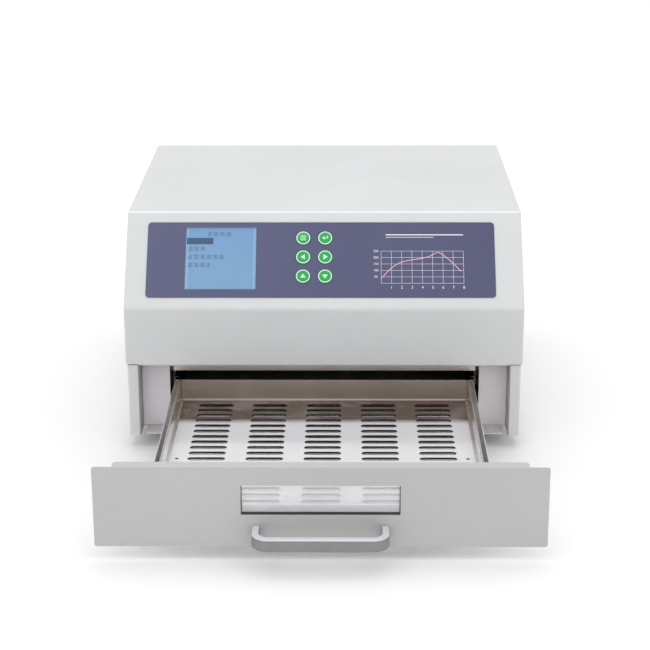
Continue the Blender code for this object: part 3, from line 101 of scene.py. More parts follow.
SLOPE = math.atan2(TOP_Z - FOLD_Z, RIDGE_Y - FASCIA_Y)
CHASSIS_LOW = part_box("chassis_side_left")[0]
DRAWER_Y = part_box("window_pane")[0].y
MACHINE = Matrix.Translation((0, CHASSIS_LOW.y, CHASSIS_LOW.z)) @ TO_METRES
DRAWER = Matrix.Translation((0, DRAWER_Y, CHASSIS_LOW.z)) @ TO_METRES
MIDDLE = Matrix.Translation((0, (DRAWER_Y + CHASSIS_LOW.y) / 2, CHASSIS_LOW.z)) @ TO_METRES
PANEL = MACHINE @ Matrix.Translation((0, FASCIA_Y, FOLD_Z)) @ Matrix.Rotation(SLOPE, 4, "X")
ALONG_Y = Matrix.Rotation(-math.pi / 2, 4, "X")
ALONG_X = Matrix.Rotation(math.pi / 2, 4, "Y")


def at(x, y, z):
    return Matrix.Translation((x, y, z))


# ---------------------------------------------------------------- outlines, in millimetres

def rectangle(left, bottom, right, top):
    return [(left, bottom), (right, bottom), (right, top), (left, top)]


def rounded(left, bottom, right, top, radius, steps=6):
    """Rectangle whose corners are arcs."""
    centres = [(right - radius, top - radius), (left + radius, top - radius),
               (left + radius, bottom + radius), (right - radius, bottom + radius)]
    return [(x + radius * math.cos(turn), y + radius * math.sin(turn))
            for quarter, (x, y) in enumerate(centres)
            for turn in (math.pi / 2 * (quarter + step / steps) for step in range(steps + 1))]


def circle(x, y, radius, points=48):
    turns = [2 * math.pi * index / points for index in range(points)]
    return [(x + radius * math.cos(turn), y + radius * math.sin(turn)) for turn in turns]


def filleted(path, radius, closed=False, steps=6):
    """The path with an arc at each inner corner."""
    points = [Vector(point) for point in path]
    count = len(points)
    result = []
    for index, here in enumerate(points):
        if not closed and index in (0, count - 1):
            result.append(tuple(here))
            continue
        before = (points[index - 1] - here).normalized()
        after = (points[(index + 1) % count] - here).normalized()
        half = before.angle(after) / 2
        if half > math.radians(89):
            result.append(tuple(here))
            continue
        reach = radius / math.tan(half)
        centre = here + (before + after).normalized() * radius / math.sin(half)
        start = here + before * reach - centre
        end = here + after * reach - centre
        sweep = math.atan2(start.x * end.y - start.y * end.x, start.dot(end))
        for step in range(steps + 1):
            turn = sweep * step / steps
            arm = Vector((start.x * math.cos(turn) - start.y * math.sin(turn),
                          start.x * math.sin(turn) + start.y * math.cos(turn)))
            result.append(tuple(centre + arm))
    return result


def strip(path, width, closed=False):
    """Outlines of a band of the given width along the middle of a path: one, or two when closed."""
    points = [Vector(point) for point in path]
    count = len(points)
    sides = ([], [])
    for index, here in enumerate(points):
        runs = []
        if index > 0 or closed:
            runs.append((here - points[index - 1]).normalized())
        if index < count - 1 or closed:
            runs.append((points[(index + 1) % count] - here).normalized())
        normals = [Vector((run.y, -run.x)) for run in runs]
        mean = sum(normals, Vector((0, 0))).normalized()
        arm = mean * width / 2 / max(mean.dot(normals[0]), 0.3)
        sides[0].append(tuple(here + arm))
        sides[1].append(tuple(here - arm))
    return (sides[0], sides[1]) if closed else sides[0] + sides[1][::-1]


# ---------------------------------------------------------------- meshes, in millimetres

def in_space(point, plane, depth):
    first, second = point
    return {"XY": Vector((first, second, depth)), "XZ": Vector((first, depth, second)),
            "YZ": Vector((depth, first, second))}[plane]


def to_mesh(bm, outwards=True):
    """Turn a bmesh into a mesh; a closed one gets its faces pointing out."""
    if outwards:
        bmesh.ops.recalc_face_normals(bm, faces=bm.faces[:])
    mesh = bpy.data.meshes.new("shape")
    bm.to_mesh(mesh)
    bm.free()
    return mesh


def slab(plane, start, end, outline, *holes):
    """Solid with an outline and holes, from start to end across the plane."""
    bm = bmesh.new()
    for loop in (outline, *holes):
        corners = [bm.verts.new(in_space(point, plane, start)) for point in loop]
        for index, corner in enumerate(corners):
            bm.edges.new((corner, corners[index - 1]))
    bmesh.ops.triangle_fill(bm, edges=bm.edges[:], use_beauty=True)
    raised = bmesh.ops.extrude_face_region(bm, geom=bm.faces[:])["geom"]
    moved = [item for item in raised if isinstance(item, bmesh.types.BMVert)]
    bmesh.ops.translate(bm, verts=moved, vec=in_space((0, 0), plane, end - start))
    return to_mesh(bm)


def block(low, high):
    return slab("XY", low[2], high[2], rectangle(low[0], low[1], high[0], high[1]))


def turned(profile, segments=48, ring=False):
    """Solid of revolution about z from (radius, height) points."""
    bm = bmesh.new()
    rings = []
    for radius, height in profile:
        points = circle(0, 0, radius, segments) if radius else [(0, 0)]
        rings.append([bm.verts.new((x, y, height)) for x, y in points])
    pairs = list(zip(rings, rings[1:])) + ([(rings[-1], rings[0])] if ring else [])
    for lower, upper in pairs:
        for index in range(segments):
            after = (index + 1) % segments
            corners = [lower[index % len(lower)], lower[after % len(lower)],
                       upper[after % len(upper)], upper[index % len(upper)]]
            bm.faces.new(list(dict.fromkeys(corners)))
    return to_mesh(bm)


def arc(radius, height, size, start, end, steps=4):
    """Points of a rounding in a turned profile, about a centre, between two angles in degrees."""
    turns = [math.radians(start + (end - start) * step / steps) for step in range(steps + 1)]
    return [(radius + size * math.cos(turn), height + size * math.sin(turn)) for turn in turns]


def moved(mesh, *steps):
    for step in steps:
        mesh.transform(step)
    return mesh


def gathered(*meshes):
    """One mesh from several that don't overlap."""
    bm = bmesh.new()
    for mesh in meshes:
        bm.from_mesh(mesh)
    return to_mesh(bm, outwards=False)


def mirror_image(mesh):
    copy = mesh.copy()
    copy.transform(Matrix.Scale(-1, 4, (1, 0, 0)))
    copy.flip_normals()
    return copy


def evaluated(mesh, *modifiers):
    """The mesh after the given modifiers, each a (type, settings) pair."""
    body = bpy.data.objects.new("body", mesh)
    bpy.context.scene.collection.objects.link(body)
    for kind, settings in modifiers:
        modifier = body.modifiers.new(kind, kind)
        for name, value in settings.items():
            setattr(modifier, name, value)
    graph = bpy.context.evaluated_depsgraph_get()
    result = bpy.data.meshes.new_from_object(body.evaluated_get(graph))
    bpy.data.objects.remove(body)
    return result


def combined(mesh, tools, operation):
    for tool in tools:
        cutter = bpy.data.objects.new("cutter", tool)
        bpy.context.scene.collection.objects.link(cutter)
        mesh = evaluated(mesh, ("BOOLEAN", {"solver": "EXACT", "operation": operation,
                                            "object": cutter}))
        bpy.data.objects.remove(cutter)
    return mesh


def cut(mesh, *tools):
    return combined(mesh, tools, "DIFFERENCE")


def joined(mesh, *tools):
    return combined(mesh, tools, "UNION")


def eased(mesh, width=0.3, segments=2, angle=35):
    """Take the sharpness off a mesh's edges and even out its shading."""
    bm = bmesh.new()
    bm.from_mesh(mesh)
    bmesh.ops.remove_doubles(bm, verts=bm.verts[:], dist=0.0005)
    bmesh.ops.dissolve_limit(bm, angle_limit=math.radians(0.6), verts=bm.verts[:],
                             edges=bm.edges[:])
    flat = to_mesh(bm, outwards=False)
    limit = math.radians(angle)
    if width:
        flat = evaluated(flat, ("BEVEL", {"width": width, "segments": segments,
                                          "limit_method": "ANGLE", "angle_limit": limit,
                                          "use_clamp_overlap": True}))
    flat.shade_smooth()
    flat.set_sharp_from_angle(angle=limit)
    return evaluated(flat, ("WEIGHTED_NORMAL", {"keep_sharp": True}))


def cad_copy(node, frame=MACHINE):
    """A CAD node's mesh in a frame's millimetres."""
    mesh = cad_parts[node].data.copy()
    mesh.transform(frame.inverted())
    bm = bmesh.new()
    bm.from_mesh(mesh)
    bmesh.ops.remove_doubles(bm, verts=bm.verts[:], dist=0.002)
    return to_mesh(bm, outwards=False)


def curve_mesh(curve):
    body = bpy.data.objects.new("body", curve)
    bpy.context.scene.collection.objects.link(body)
    graph = bpy.context.evaluated_depsgraph_get()
    mesh = bpy.data.meshes.new_from_object(body.evaluated_get(graph))
    bpy.data.objects.remove(body)
    mesh.shade_smooth()
    mesh.set_sharp_from_angle(angle=math.radians(50))
    return mesh


def numeral(text, height, place, thickness=0.05):
    """A printed number, centred on a place in the panel's frame."""
    curve = bpy.data.curves.new("numeral", "FONT")
    curve.body = text
    curve.size = height * 1.38
    curve.align_x = "CENTER"
    curve.align_y = "CENTER"
    curve.resolution_u = 3
    curve.extrude = thickness / 2
    return moved(curve_mesh(curve), at(place[0], place[1], FILM_FACE + thickness / 2))


def deliver(name, mesh, frame, look, body, slot, *nodes):
    """Put a finished mesh in the scene as one piece of the model."""
    mesh.transform(frame)
    mesh.name = name
    mesh.materials.clear()
    mesh.materials.append(finish(look))
    piece = bpy.data.objects.new(name, mesh)
    bpy.context.scene.collection.objects.link(piece)
    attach(piece, body)
    if nodes:
        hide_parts(*nodes)
    return piece


# ---------------------------------------------------------------- geometry node trees

def node_tree(name, sockets):
    """A geometry tree with named inputs, and a way to add wired nodes to it."""
    tree = bpy.data.node_groups.new(name, "GeometryNodeTree")
    for label, kind, default in sockets:
        socket = tree.interface.new_socket(label, in_out="INPUT", socket_type=f"NodeSocket{kind}")
        if default is not None:
            socket.default_value = default
    tree.interface.new_socket("Geometry", in_out="OUTPUT", socket_type="NodeSocketGeometry")
    return tree


def add_node(tree, kind, settings=None, **wires):
    """Add a node; each wire is an output to link or a value to set, by the input's name."""
    node = tree.nodes.new(kind)
    for name, value in (settings or {}).items():
        setattr(node, name, value)
    for name, value in wires.items():
        label = name.replace("_", " ")
        target = next(s for s in node.inputs if s.enabled and s.name.lower() == label.lower())
        if isinstance(value, bpy.types.NodeSocket):
            tree.links.new(value, target)
        else:
            target.default_value = value
    return node


def close_tree(tree, geometry):
    """End a tree in Realize Instances and Set Material."""
    real = add_node(tree, "GeometryNodeRealizeInstances", geometry=geometry)
    coated = add_node(tree, "GeometryNodeSetMaterial", geometry=real.outputs[0])
    end = tree.nodes.new("NodeGroupOutput")
    tree.links.new(coated.outputs[0], end.inputs[0])
    return tree


def grown(tree, mesh=None, **values):
    """The plain mesh that a tree makes from a start mesh and the given input values."""
    body = bpy.data.objects.new("body", mesh or bpy.data.meshes.new("start"))
    bpy.context.scene.collection.objects.link(body)
    modifier = body.modifiers.new("grow", "NODES")
    modifier.node_group = tree
    for item in tree.interface.items_tree:
        label = item.name.replace(" ", "_").lower()
        if item.in_out == "INPUT" and label in values:
            modifier[item.identifier] = values[label]
    graph = bpy.context.evaluated_depsgraph_get()
    result = bpy.data.meshes.new_from_object(body.evaluated_get(graph))
    body.modifiers.remove(modifier)
    bpy.data.objects.remove(body)
    return result


def math_node(tree, operation, first, second):
    node = tree.nodes.new("ShaderNodeMath")
    node.operation = operation
    for socket, value in zip(node.inputs, (first, second)):
        if isinstance(value, bpy.types.NodeSocket):
            tree.links.new(value, socket)
        else:
            socket.default_value = value
    return node.outputs[0]


def slot_places(tree, put):
    """The outline of one round-ended slot, and the points where the rows of slots stand."""
    bar = add_node(tree, "GeometryNodeCurvePrimitiveQuadrilateral", width=put["Slot Length"],
                   height=put["Slot Width"])
    end = math_node(tree, "MULTIPLY", put["Slot Width"], 0.4995)
    slot = add_node(tree, "GeometryNodeFilletCurve", {"mode": "POLY"}, count=6, radius=end,
                    curve=bar.outputs[0])
    across = math_node(tree, "MULTIPLY", put["Pitch X"],
                       math_node(tree, "SUBTRACT", put["Columns"], 1.0))
    along = math_node(tree, "MULTIPLY", put["Pitch Y"],
                      math_node(tree, "SUBTRACT", put["Rows"], 1.0))
    grid = add_node(tree, "GeometryNodeMeshGrid", size_x=across, size_y=along,
                    vertices_x=put["Columns"], vertices_y=put["Rows"])
    shift = add_node(tree, "ShaderNodeCombineXYZ", y=put["Slot Shift"])
    place = add_node(tree, "GeometryNodeTransform", geometry=grid.outputs[0],
                     translation=shift.outputs[0])
    return slot.outputs[0], place.outputs[0]


SLOT_SOCKETS = [
    ("Columns", "Int", 5), ("Rows", "Int", 18), ("Pitch X", "Float", 58.6),
    ("Pitch Y", "Float", 15.0), ("Slot Length", "Float", 38.0), ("Slot Width", "Float", 8.4),
    ("Slot Shift", "Float", 0.0)]


def slotted_plate_tree():
    """Plate with rows and columns of round-ended slots, its lower face at z 0."""
    tree = node_tree("Slotted plate", [
        ("Width", "Float", 300.0), ("Depth", "Float", 280.0), ("Thickness", "Float", 1.0),
        *SLOT_SOCKETS])
    put = tree.nodes.new("NodeGroupInput").outputs
    plate = add_node(tree, "GeometryNodeCurvePrimitiveQuadrilateral", width=put["Width"],
                     height=put["Depth"])
    slot, place = slot_places(tree, put)
    slots = add_node(tree, "GeometryNodeInstanceOnPoints", points=place, instance=slot)
    real = add_node(tree, "GeometryNodeRealizeInstances", geometry=slots.outputs[0])
    lines = tree.nodes.new("GeometryNodeJoinGeometry")
    tree.links.new(plate.outputs[0], lines.inputs[0])
    tree.links.new(real.outputs[0], lines.inputs[0])
    sheet = add_node(tree, "GeometryNodeFillCurve", curve=lines.outputs[0])
    lift = add_node(tree, "ShaderNodeCombineXYZ", z=put["Thickness"])
    upper = add_node(tree, "GeometryNodeExtrudeMesh", mesh=sheet.outputs[0], individual=False,
                     offset=lift.outputs[0], offset_scale=1.0)
    lower = add_node(tree, "GeometryNodeFlipFaces", mesh=sheet.outputs[0])
    both = tree.nodes.new("GeometryNodeJoinGeometry")
    tree.links.new(upper.outputs[0], both.inputs[0])
    tree.links.new(lower.outputs[0], both.inputs[0])
    whole = add_node(tree, "GeometryNodeMergeByDistance", geometry=both.outputs[0], distance=0.001)
    return close_tree(tree, whole.outputs[0])


def slot_rim_tree():
    """Folded rims that hang from the edges of the slots, centred on z 0; their near-black finish is
    painted shade from under the tray.
    """
    tree = node_tree("Slot rims", [
        ("Sheet", "Float", 0.4), ("Depth", "Float", 2.0), *SLOT_SOCKETS])
    put = tree.nodes.new("NodeGroupInput").outputs
    slot, place = slot_places(tree, put)
    section = add_node(tree, "GeometryNodeCurvePrimitiveQuadrilateral", width=put["Sheet"],
                       height=put["Depth"])
    rim = add_node(tree, "GeometryNodeCurveToMesh", curve=slot, profile_curve=section.outputs[0])
    rims = add_node(tree, "GeometryNodeInstanceOnPoints", points=place, instance=rim.outputs[0])
    return close_tree(tree, rims.outputs[0])


def screw_tree():
    """Domed screw heads with a cross recess at each point of the start mesh, turned at random."""
    tree = node_tree("Screw heads", [
        ("Geometry", "Geometry", None), ("Radius", "Float", 3.0), ("Height", "Float", 1.6),
        ("Tilt", "Vector", (0.0, 0.0, 0.0)), ("Seed", "Int", 4)])
    put = tree.nodes.new("NodeGroupInput").outputs
    ball = add_node(tree, "GeometryNodeMeshUVSphere", segments=24, rings=12, radius=1.0)
    size = add_node(tree, "ShaderNodeCombineXYZ", x=put["Radius"], y=put["Radius"], z=put["Height"])
    dome = add_node(tree, "GeometryNodeTransform", geometry=ball.outputs[0], scale=size.outputs[0])
    reach = math_node(tree, "MULTIPLY", put["Radius"], 1.15)
    slim = math_node(tree, "MULTIPLY", put["Radius"], 0.2)
    cutters = []
    for first, second in ((reach, slim), (slim, reach)):
        sides = add_node(tree, "ShaderNodeCombineXYZ", x=first, y=second, z=put["Height"])
        bar = add_node(tree, "GeometryNodeMeshCube", size=sides.outputs[0])
        high = add_node(tree, "ShaderNodeCombineXYZ", z=put["Height"])
        cutters.append(add_node(tree, "GeometryNodeTransform", geometry=bar.outputs[0],
                                translation=high.outputs[0]))
    keep = math_node(tree, "MULTIPLY", put["Radius"], 4.0)
    flat = add_node(tree, "ShaderNodeCombineXYZ", x=keep, y=keep, z=keep)
    under = add_node(tree, "GeometryNodeMeshCube", size=flat.outputs[0])
    down = add_node(tree, "ShaderNodeCombineXYZ", z=math_node(tree, "MULTIPLY", keep, -0.5))
    floor = add_node(tree, "GeometryNodeTransform", geometry=under.outputs[0],
                     translation=down.outputs[0])
    head = tree.nodes.new("GeometryNodeMeshBoolean")
    head.operation = "DIFFERENCE"
    head.solver = "EXACT"
    tree.links.new(dome.outputs[0], head.inputs["Mesh 1"])
    for tool in (*cutters, floor):
        tree.links.new(tool.outputs[0], head.inputs["Mesh 2"])
    spin = add_node(tree, "FunctionNodeRandomValue", {"data_type": "FLOAT"}, seed=put["Seed"])
    turn = math_node(tree, "MULTIPLY", spin.outputs[1], math.tau)
    twist = add_node(tree, "ShaderNodeCombineXYZ", z=turn)
    heads = add_node(tree, "GeometryNodeInstanceOnPoints", points=put["Geometry"],
                     instance=head.outputs[0], rotation=put["Tilt"])
    spun = add_node(tree, "GeometryNodeRotateInstances", instances=heads.outputs[0],
                    rotation=twist.outputs[0], local_space=True)
    return close_tree(tree, spun.outputs[0])


def ring_tree():
    """The start mesh repeated round the z axis."""
    tree = node_tree("Repeat round", [("Geometry", "Geometry", None), ("Count", "Int", 7)])
    put = tree.nodes.new("NodeGroupInput").outputs
    line = add_node(tree, "GeometryNodeMeshLine", {"mode": "OFFSET"}, count=put["Count"],
                    offset=(0.0, 0.0, 0.0))
    index = tree.nodes.new("GeometryNodeInputIndex")
    share = math_node(tree, "DIVIDE", index.outputs[0], put["Count"])
    twist = add_node(tree, "ShaderNodeCombineXYZ", z=math_node(tree, "MULTIPLY", share, math.tau))
    copies = add_node(tree, "GeometryNodeInstanceOnPoints", points=line.outputs[0],
                      instance=put["Geometry"], rotation=twist.outputs[0])
    return close_tree(tree, copies.outputs[0])


def row_tree():
    """The start mesh repeated in a straight row."""
    tree = node_tree("Repeat in a row", [
        ("Geometry", "Geometry", None), ("Count", "Int", 8), ("Step", "Vector", (1.0, 0.0, 0.0))])
    put = tree.nodes.new("NodeGroupInput").outputs
    line = add_node(tree, "GeometryNodeMeshLine", {"mode": "OFFSET"}, count=put["Count"],
                    offset=put["Step"])
    copies = add_node(tree, "GeometryNodeInstanceOnPoints", points=line.outputs[0],
                      instance=put["Geometry"])
    return close_tree(tree, copies.outputs[0])


def guard_tree():
    """Wire fan guard: rings and spokes about the z axis."""
    tree = node_tree("Wire guard", [("Rings", "Int", 5), ("Radius", "Float", 38.0),
                                    ("Wire", "Float", 0.8), ("Spokes", "Int", 4)])
    put = tree.nodes.new("NodeGroupInput").outputs
    profile = add_node(tree, "GeometryNodeCurvePrimitiveCircle", resolution=8, radius=put["Wire"])
    line = add_node(tree, "GeometryNodeMeshLine", {"mode": "OFFSET"}, count=put["Rings"],
                    offset=(0.0, 0.0, 0.0))
    index = tree.nodes.new("GeometryNodeInputIndex")
    share = math_node(tree, "DIVIDE", math_node(tree, "ADD", index.outputs[0], 1.0), put["Rings"])
    loop = add_node(tree, "GeometryNodeCurvePrimitiveCircle", resolution=64, radius=put["Radius"])
    size = add_node(tree, "ShaderNodeCombineXYZ", x=share, y=share, z=1.0)
    rings = add_node(tree, "GeometryNodeInstanceOnPoints", points=line.outputs[0],
                     instance=loop.outputs[0], scale=size.outputs[0])
    real = add_node(tree, "GeometryNodeRealizeInstances", geometry=rings.outputs[0])
    round_wire = add_node(tree, "GeometryNodeCurveToMesh", curve=real.outputs[0],
                          profile_curve=profile.outputs[0])
    inner = math_node(tree, "MULTIPLY", put["Radius"], 0.2)
    outer = math_node(tree, "MULTIPLY", put["Radius"], 1.14)
    start = add_node(tree, "ShaderNodeCombineXYZ", x=inner)
    end = add_node(tree, "ShaderNodeCombineXYZ", x=outer)
    spoke = add_node(tree, "GeometryNodeCurvePrimitiveLine", start=start.outputs[0],
                     end=end.outputs[0])
    spoke_wire = add_node(tree, "GeometryNodeCurveToMesh", curve=spoke.outputs[0],
                          profile_curve=profile.outputs[0], fill_caps=True)
    arms = add_node(tree, "GeometryNodeMeshLine", {"mode": "OFFSET"}, count=put["Spokes"],
                    offset=(0.0, 0.0, 0.0))
    part = math_node(tree, "DIVIDE", math_node(tree, "ADD", index.outputs[0], 0.5), put["Spokes"])
    twist = add_node(tree, "ShaderNodeCombineXYZ", z=math_node(tree, "MULTIPLY", part, math.tau))
    spokes = add_node(tree, "GeometryNodeInstanceOnPoints", points=arms.outputs[0],
                      instance=spoke_wire.outputs[0], rotation=twist.outputs[0])
    lower = add_node(tree, "ShaderNodeCombineXYZ", z=math_node(tree, "MULTIPLY", put["Wire"], -1.6))
    under = add_node(tree, "GeometryNodeTransform", geometry=spokes.outputs[0],
                     translation=lower.outputs[0])
    both = tree.nodes.new("GeometryNodeJoinGeometry")
    tree.links.new(round_wire.outputs[0], both.inputs[0])
    tree.links.new(under.outputs[0], both.inputs[0])
    return close_tree(tree, both.outputs[0])


def helix_tree():
    """Wound heating wire along the z axis."""
    tree = node_tree("Wound wire", [("Turns", "Float", 90.0), ("Length", "Float", 290.0),
                                    ("Radius", "Float", 2.6), ("Wire", "Float", 0.35)])
    put = tree.nodes.new("NodeGroupInput").outputs
    coil = add_node(tree, "GeometryNodeCurveSpiral", resolution=14, rotations=put["Turns"],
                    start_radius=put["Radius"], end_radius=put["Radius"], height=put["Length"])
    profile = add_node(tree, "GeometryNodeCurvePrimitiveCircle", resolution=5, radius=put["Wire"])
    round_wire = add_node(tree, "GeometryNodeCurveToMesh", curve=coil.outputs[0],
                          profile_curve=profile.outputs[0], fill_caps=True)
    return close_tree(tree, round_wire.outputs[0])


TREES = {}


def tree_of(make):
    if make not in TREES:
        TREES[make] = make()
    return TREES[make]


def screws(places, radius, height, tilt, seed=4):
    """Screw heads at places, their axes turned from z by the tilt."""
    points = bpy.data.meshes.new("places")
    points.from_pydata(places, [], [])
    mesh = grown(tree_of(screw_tree), points, radius=radius, height=height, tilt=tilt, seed=seed)
    mesh.shade_smooth()
    mesh.set_sharp_from_angle(angle=math.radians(40))
    return mesh


# ---------------------------------------------------------------- shared surface effects

def shader_group(name, inputs, outputs):
    """A shader node group with named inputs and outputs, and its two end nodes."""
    tree = bpy.data.node_groups.new(name, "ShaderNodeTree")
    for label, kind, default in inputs:
        socket = tree.interface.new_socket(label, in_out="INPUT", socket_type=f"NodeSocket{kind}")
        socket.default_value = default
    for label in outputs:
        tree.interface.new_socket(label, in_out="OUTPUT", socket_type="NodeSocketFloat")
    return tree, tree.nodes.new("NodeGroupInput").outputs, tree.nodes.new("NodeGroupOutput").inputs


def ranged(tree, value, low, high, start=0.0, end=1.0):
    """Stretch a value from one range to another, clamped."""
    return add_node(tree, "ShaderNodeMapRange", value=value, from_min=low, from_max=high,
                    to_min=start, to_max=end).outputs[0]


def object_place(tree):
    return tree.nodes.new("ShaderNodeTexCoord").outputs["Object"]


def grain_group():
    """Even fine grain, as of powder coat or moulded plastic: a height, and slow clouds of tone."""
    tree, put, out = shader_group("Fine grain", [("Scale", "Float", 1200.0),
                                                 ("Cloud Scale", "Float", 9.0)],
                                  ["Height", "Clouds"])
    place = object_place(tree)
    fine = add_node(tree, "ShaderNodeTexNoise", vector=place, scale=put["Scale"], detail=2.0)
    coarse = add_node(tree, "ShaderNodeTexNoise", vector=place, scale=put["Cloud Scale"],
                      detail=5.0, roughness=0.6)
    tree.links.new(ranged(tree, fine.outputs[0], 0.3, 0.7), out["Height"])
    tree.links.new(ranged(tree, coarse.outputs[0], 0.35, 0.65), out["Clouds"])
    return tree


def brushed_group():
    """Fine lines along one axis, with a few longer scratches across them."""
    tree, put, out = shader_group("Brushed lines", [("Stretch", "Vector", (30.0, 900.0, 900.0)),
                                                    ("Scratch Scale", "Float", 60.0)],
                                  ["Lines", "Scratches"])
    place = object_place(tree)
    drawn = add_node(tree, "ShaderNodeVectorMath", {"operation": "MULTIPLY"})
    tree.links.new(place, drawn.inputs[0])
    tree.links.new(put["Stretch"], drawn.inputs[1])
    lines = add_node(tree, "ShaderNodeTexNoise", vector=drawn.outputs[0], scale=1.0, detail=3.0)
    tree.links.new(ranged(tree, lines.outputs[0], 0.3, 0.7), out["Lines"])
    total = None
    for angle, stretch in ((0.5, 14.0), (-0.9, 22.0), (1.4, 17.0)):
        turned_place = add_node(tree, "ShaderNodeMapping", vector=place,
                                rotation=(0.0, 0.0, angle), scale=(1.0, stretch, stretch))
        marks = add_node(tree, "ShaderNodeTexNoise", vector=turned_place.outputs[0],
                         scale=put["Scratch Scale"], detail=1.0)
        mark = ranged(tree, marks.outputs[0], 0.68, 0.76)
        total = mark if total is None else math_node(tree, "MAXIMUM", total, mark)
    tree.links.new(total, out["Scratches"])
    return tree


def dust_group():
    """Thin settled dust: more on faces that look up, in soft patches."""
    tree, put, out = shader_group("Settled dust", [("Amount", "Float", 0.2),
                                                   ("Scale", "Float", 22.0)], ["Mask"])
    place = object_place(tree)
    facing = add_node(tree, "ShaderNodeSeparateXYZ",
                      vector=tree.nodes.new("ShaderNodeNewGeometry").outputs["Normal"])
    up = ranged(tree, facing.outputs[2], 0.2, 1.0, 0.15, 1.0)
    patches = add_node(tree, "ShaderNodeTexNoise", vector=place, scale=put["Scale"], detail=6.0,
                       roughness=0.65)
    specks = add_node(tree, "ShaderNodeTexNoise", vector=place, scale=700.0, detail=1.0)
    soft = math_node(tree, "MULTIPLY", ranged(tree, patches.outputs[0], 0.4, 0.75), up)
    grains = math_node(tree, "MULTIPLY", soft, ranged(tree, specks.outputs[0], 0.4, 0.7, 0.4, 1.0))
    tree.links.new(math_node(tree, "MULTIPLY", grains, put["Amount"]), out["Mask"])
    return tree


def tint_group():
    """Tint that grows along y between two depths, in uneven patches; on the tray floor it is a painted
    reflection of the dark chamber.
    """
    tree, put, out = shader_group("Tint and painted shade", [("Start", "Float", -0.2), ("End", "Float", 0.1),
                                                ("Scale", "Float", 14.0)], ["Mask"])
    place = object_place(tree)
    depth = add_node(tree, "ShaderNodeSeparateXYZ", vector=place)
    span = add_node(tree, "ShaderNodeMapRange", value=depth.outputs[1], from_min=put["Start"],
                    from_max=put["End"])
    patches = add_node(tree, "ShaderNodeTexNoise", vector=place, scale=put["Scale"], detail=6.0,
                       roughness=0.6, distortion=0.6)
    uneven = ranged(tree, patches.outputs[0], 0.35, 0.65, 0.8, 1.15)
    tree.links.new(math_node(tree, "MULTIPLY", span.outputs[0], uneven), out["Mask"])
    return tree


SHADER_GROUPS = {}


def group_of(make):
    if make not in SHADER_GROUPS:
        SHADER_GROUPS[make] = make()
    return SHADER_GROUPS[make]


class Look:
    """A Principled material with short ways to wire it."""

    def __init__(self, name, roughness=0.5, **plain):
        self.material = bpy.data.materials.new(name)
        self.material.use_nodes = True
        self.tree = self.material.node_tree
        self.shader = self.tree.nodes["Principled BSDF"]
        self.set("Roughness", roughness)
        for label, value in plain.items():
            self.set(label.replace("_", " "), value)

    def set(self, label, value):
        if isinstance(value, bpy.types.NodeSocket):
            self.tree.links.new(value, self.shader.inputs[label])
        else:
            self.shader.inputs[label].default_value = value

    def group(self, make, **values):
        """Place a shared effect with its own values; gives its outputs."""
        node = self.tree.nodes.new("ShaderNodeGroup")
        node.node_tree = group_of(make)
        for name, value in values.items():
            node.inputs[name.replace("_", " ").title()].default_value = value
        return node.outputs

    def mix(self, factor, first, second):
        """Colour between two colours, each a value or an output."""
        node = self.tree.nodes.new("ShaderNodeMix")
        node.data_type = "RGBA"
        for socket, value in ((node.inputs[0], factor), (node.inputs[6], first),
                              (node.inputs[7], second)):
            if isinstance(value, bpy.types.NodeSocket):
                self.tree.links.new(value, socket)
            else:
                socket.default_value = value if isinstance(value, float) else (*value[:3], 1.0)
        return node.outputs[2]

    def ranged(self, value, low, high, start=0.0, end=1.0):
        return ranged(self.tree, value, low, high, start, end)

    def math(self, operation, first, second):
        return math_node(self.tree, operation, first, second)

    def within(self, axis, low, high, soft=0.0003):
        """Mask that is 1 between two distances from the object's middle along an axis."""
        apart = add_node(self.tree, "ShaderNodeSeparateXYZ", vector=object_place(self.tree))
        distance = self.math("ABSOLUTE", apart.outputs[axis], 0.0)
        return self.math("MULTIPLY", self.ranged(distance, low - soft, low + soft),
                         self.ranged(distance, high - soft, high + soft, 1.0, 0.0))

    def bump(self, height, distance, strength=1.0):
        """Relief of the given depth in metres."""
        node = self.tree.nodes.new("ShaderNodeBump")
        node.inputs["Strength"].default_value = strength
        node.inputs["Distance"].default_value = distance
        self.tree.links.new(height, node.inputs["Height"])
        self.set("Normal", node.outputs[0])


def coated(name, colour, second, rough, relief=0.00002, scale=1200.0, clouds=9.0, dust=0.0,
           dust_colour=(0.55, 0.53, 0.5), patch=None, patch_colour=None, **plain):
    """Paint, plastic, rubber or ceramic: grained, a little cloudy, and dusty where it faces up.
    A painted-light patch lists axes with a low and a high limit; inside them the coat takes another
    colour: a painted highlight on the hood's fold, painted shade on the chassis strips' inner returns."""
    look = Look(name, **plain)
    grain = look.group(grain_group, scale=scale, cloud_scale=clouds)
    shade = look.mix(grain["Clouds"], colour, second)
    for limits in patch or ():
        mask = 1.0
        for axis, low, high in limits:
            mask = look.math("MULTIPLY", mask, look.within(axis, low, high))
        shade = look.mix(mask, shade, patch_colour)
    if dust:
        settled = look.group(dust_group, amount=dust)
        shade = look.mix(settled["Mask"], shade, dust_colour)
    look.set("Base Color", shade)
    look.set("Roughness", look.ranged(grain["Height"], 0.0, 1.0, rough[0], rough[1]))
    look.bump(grain["Height"], relief)
    return look.material


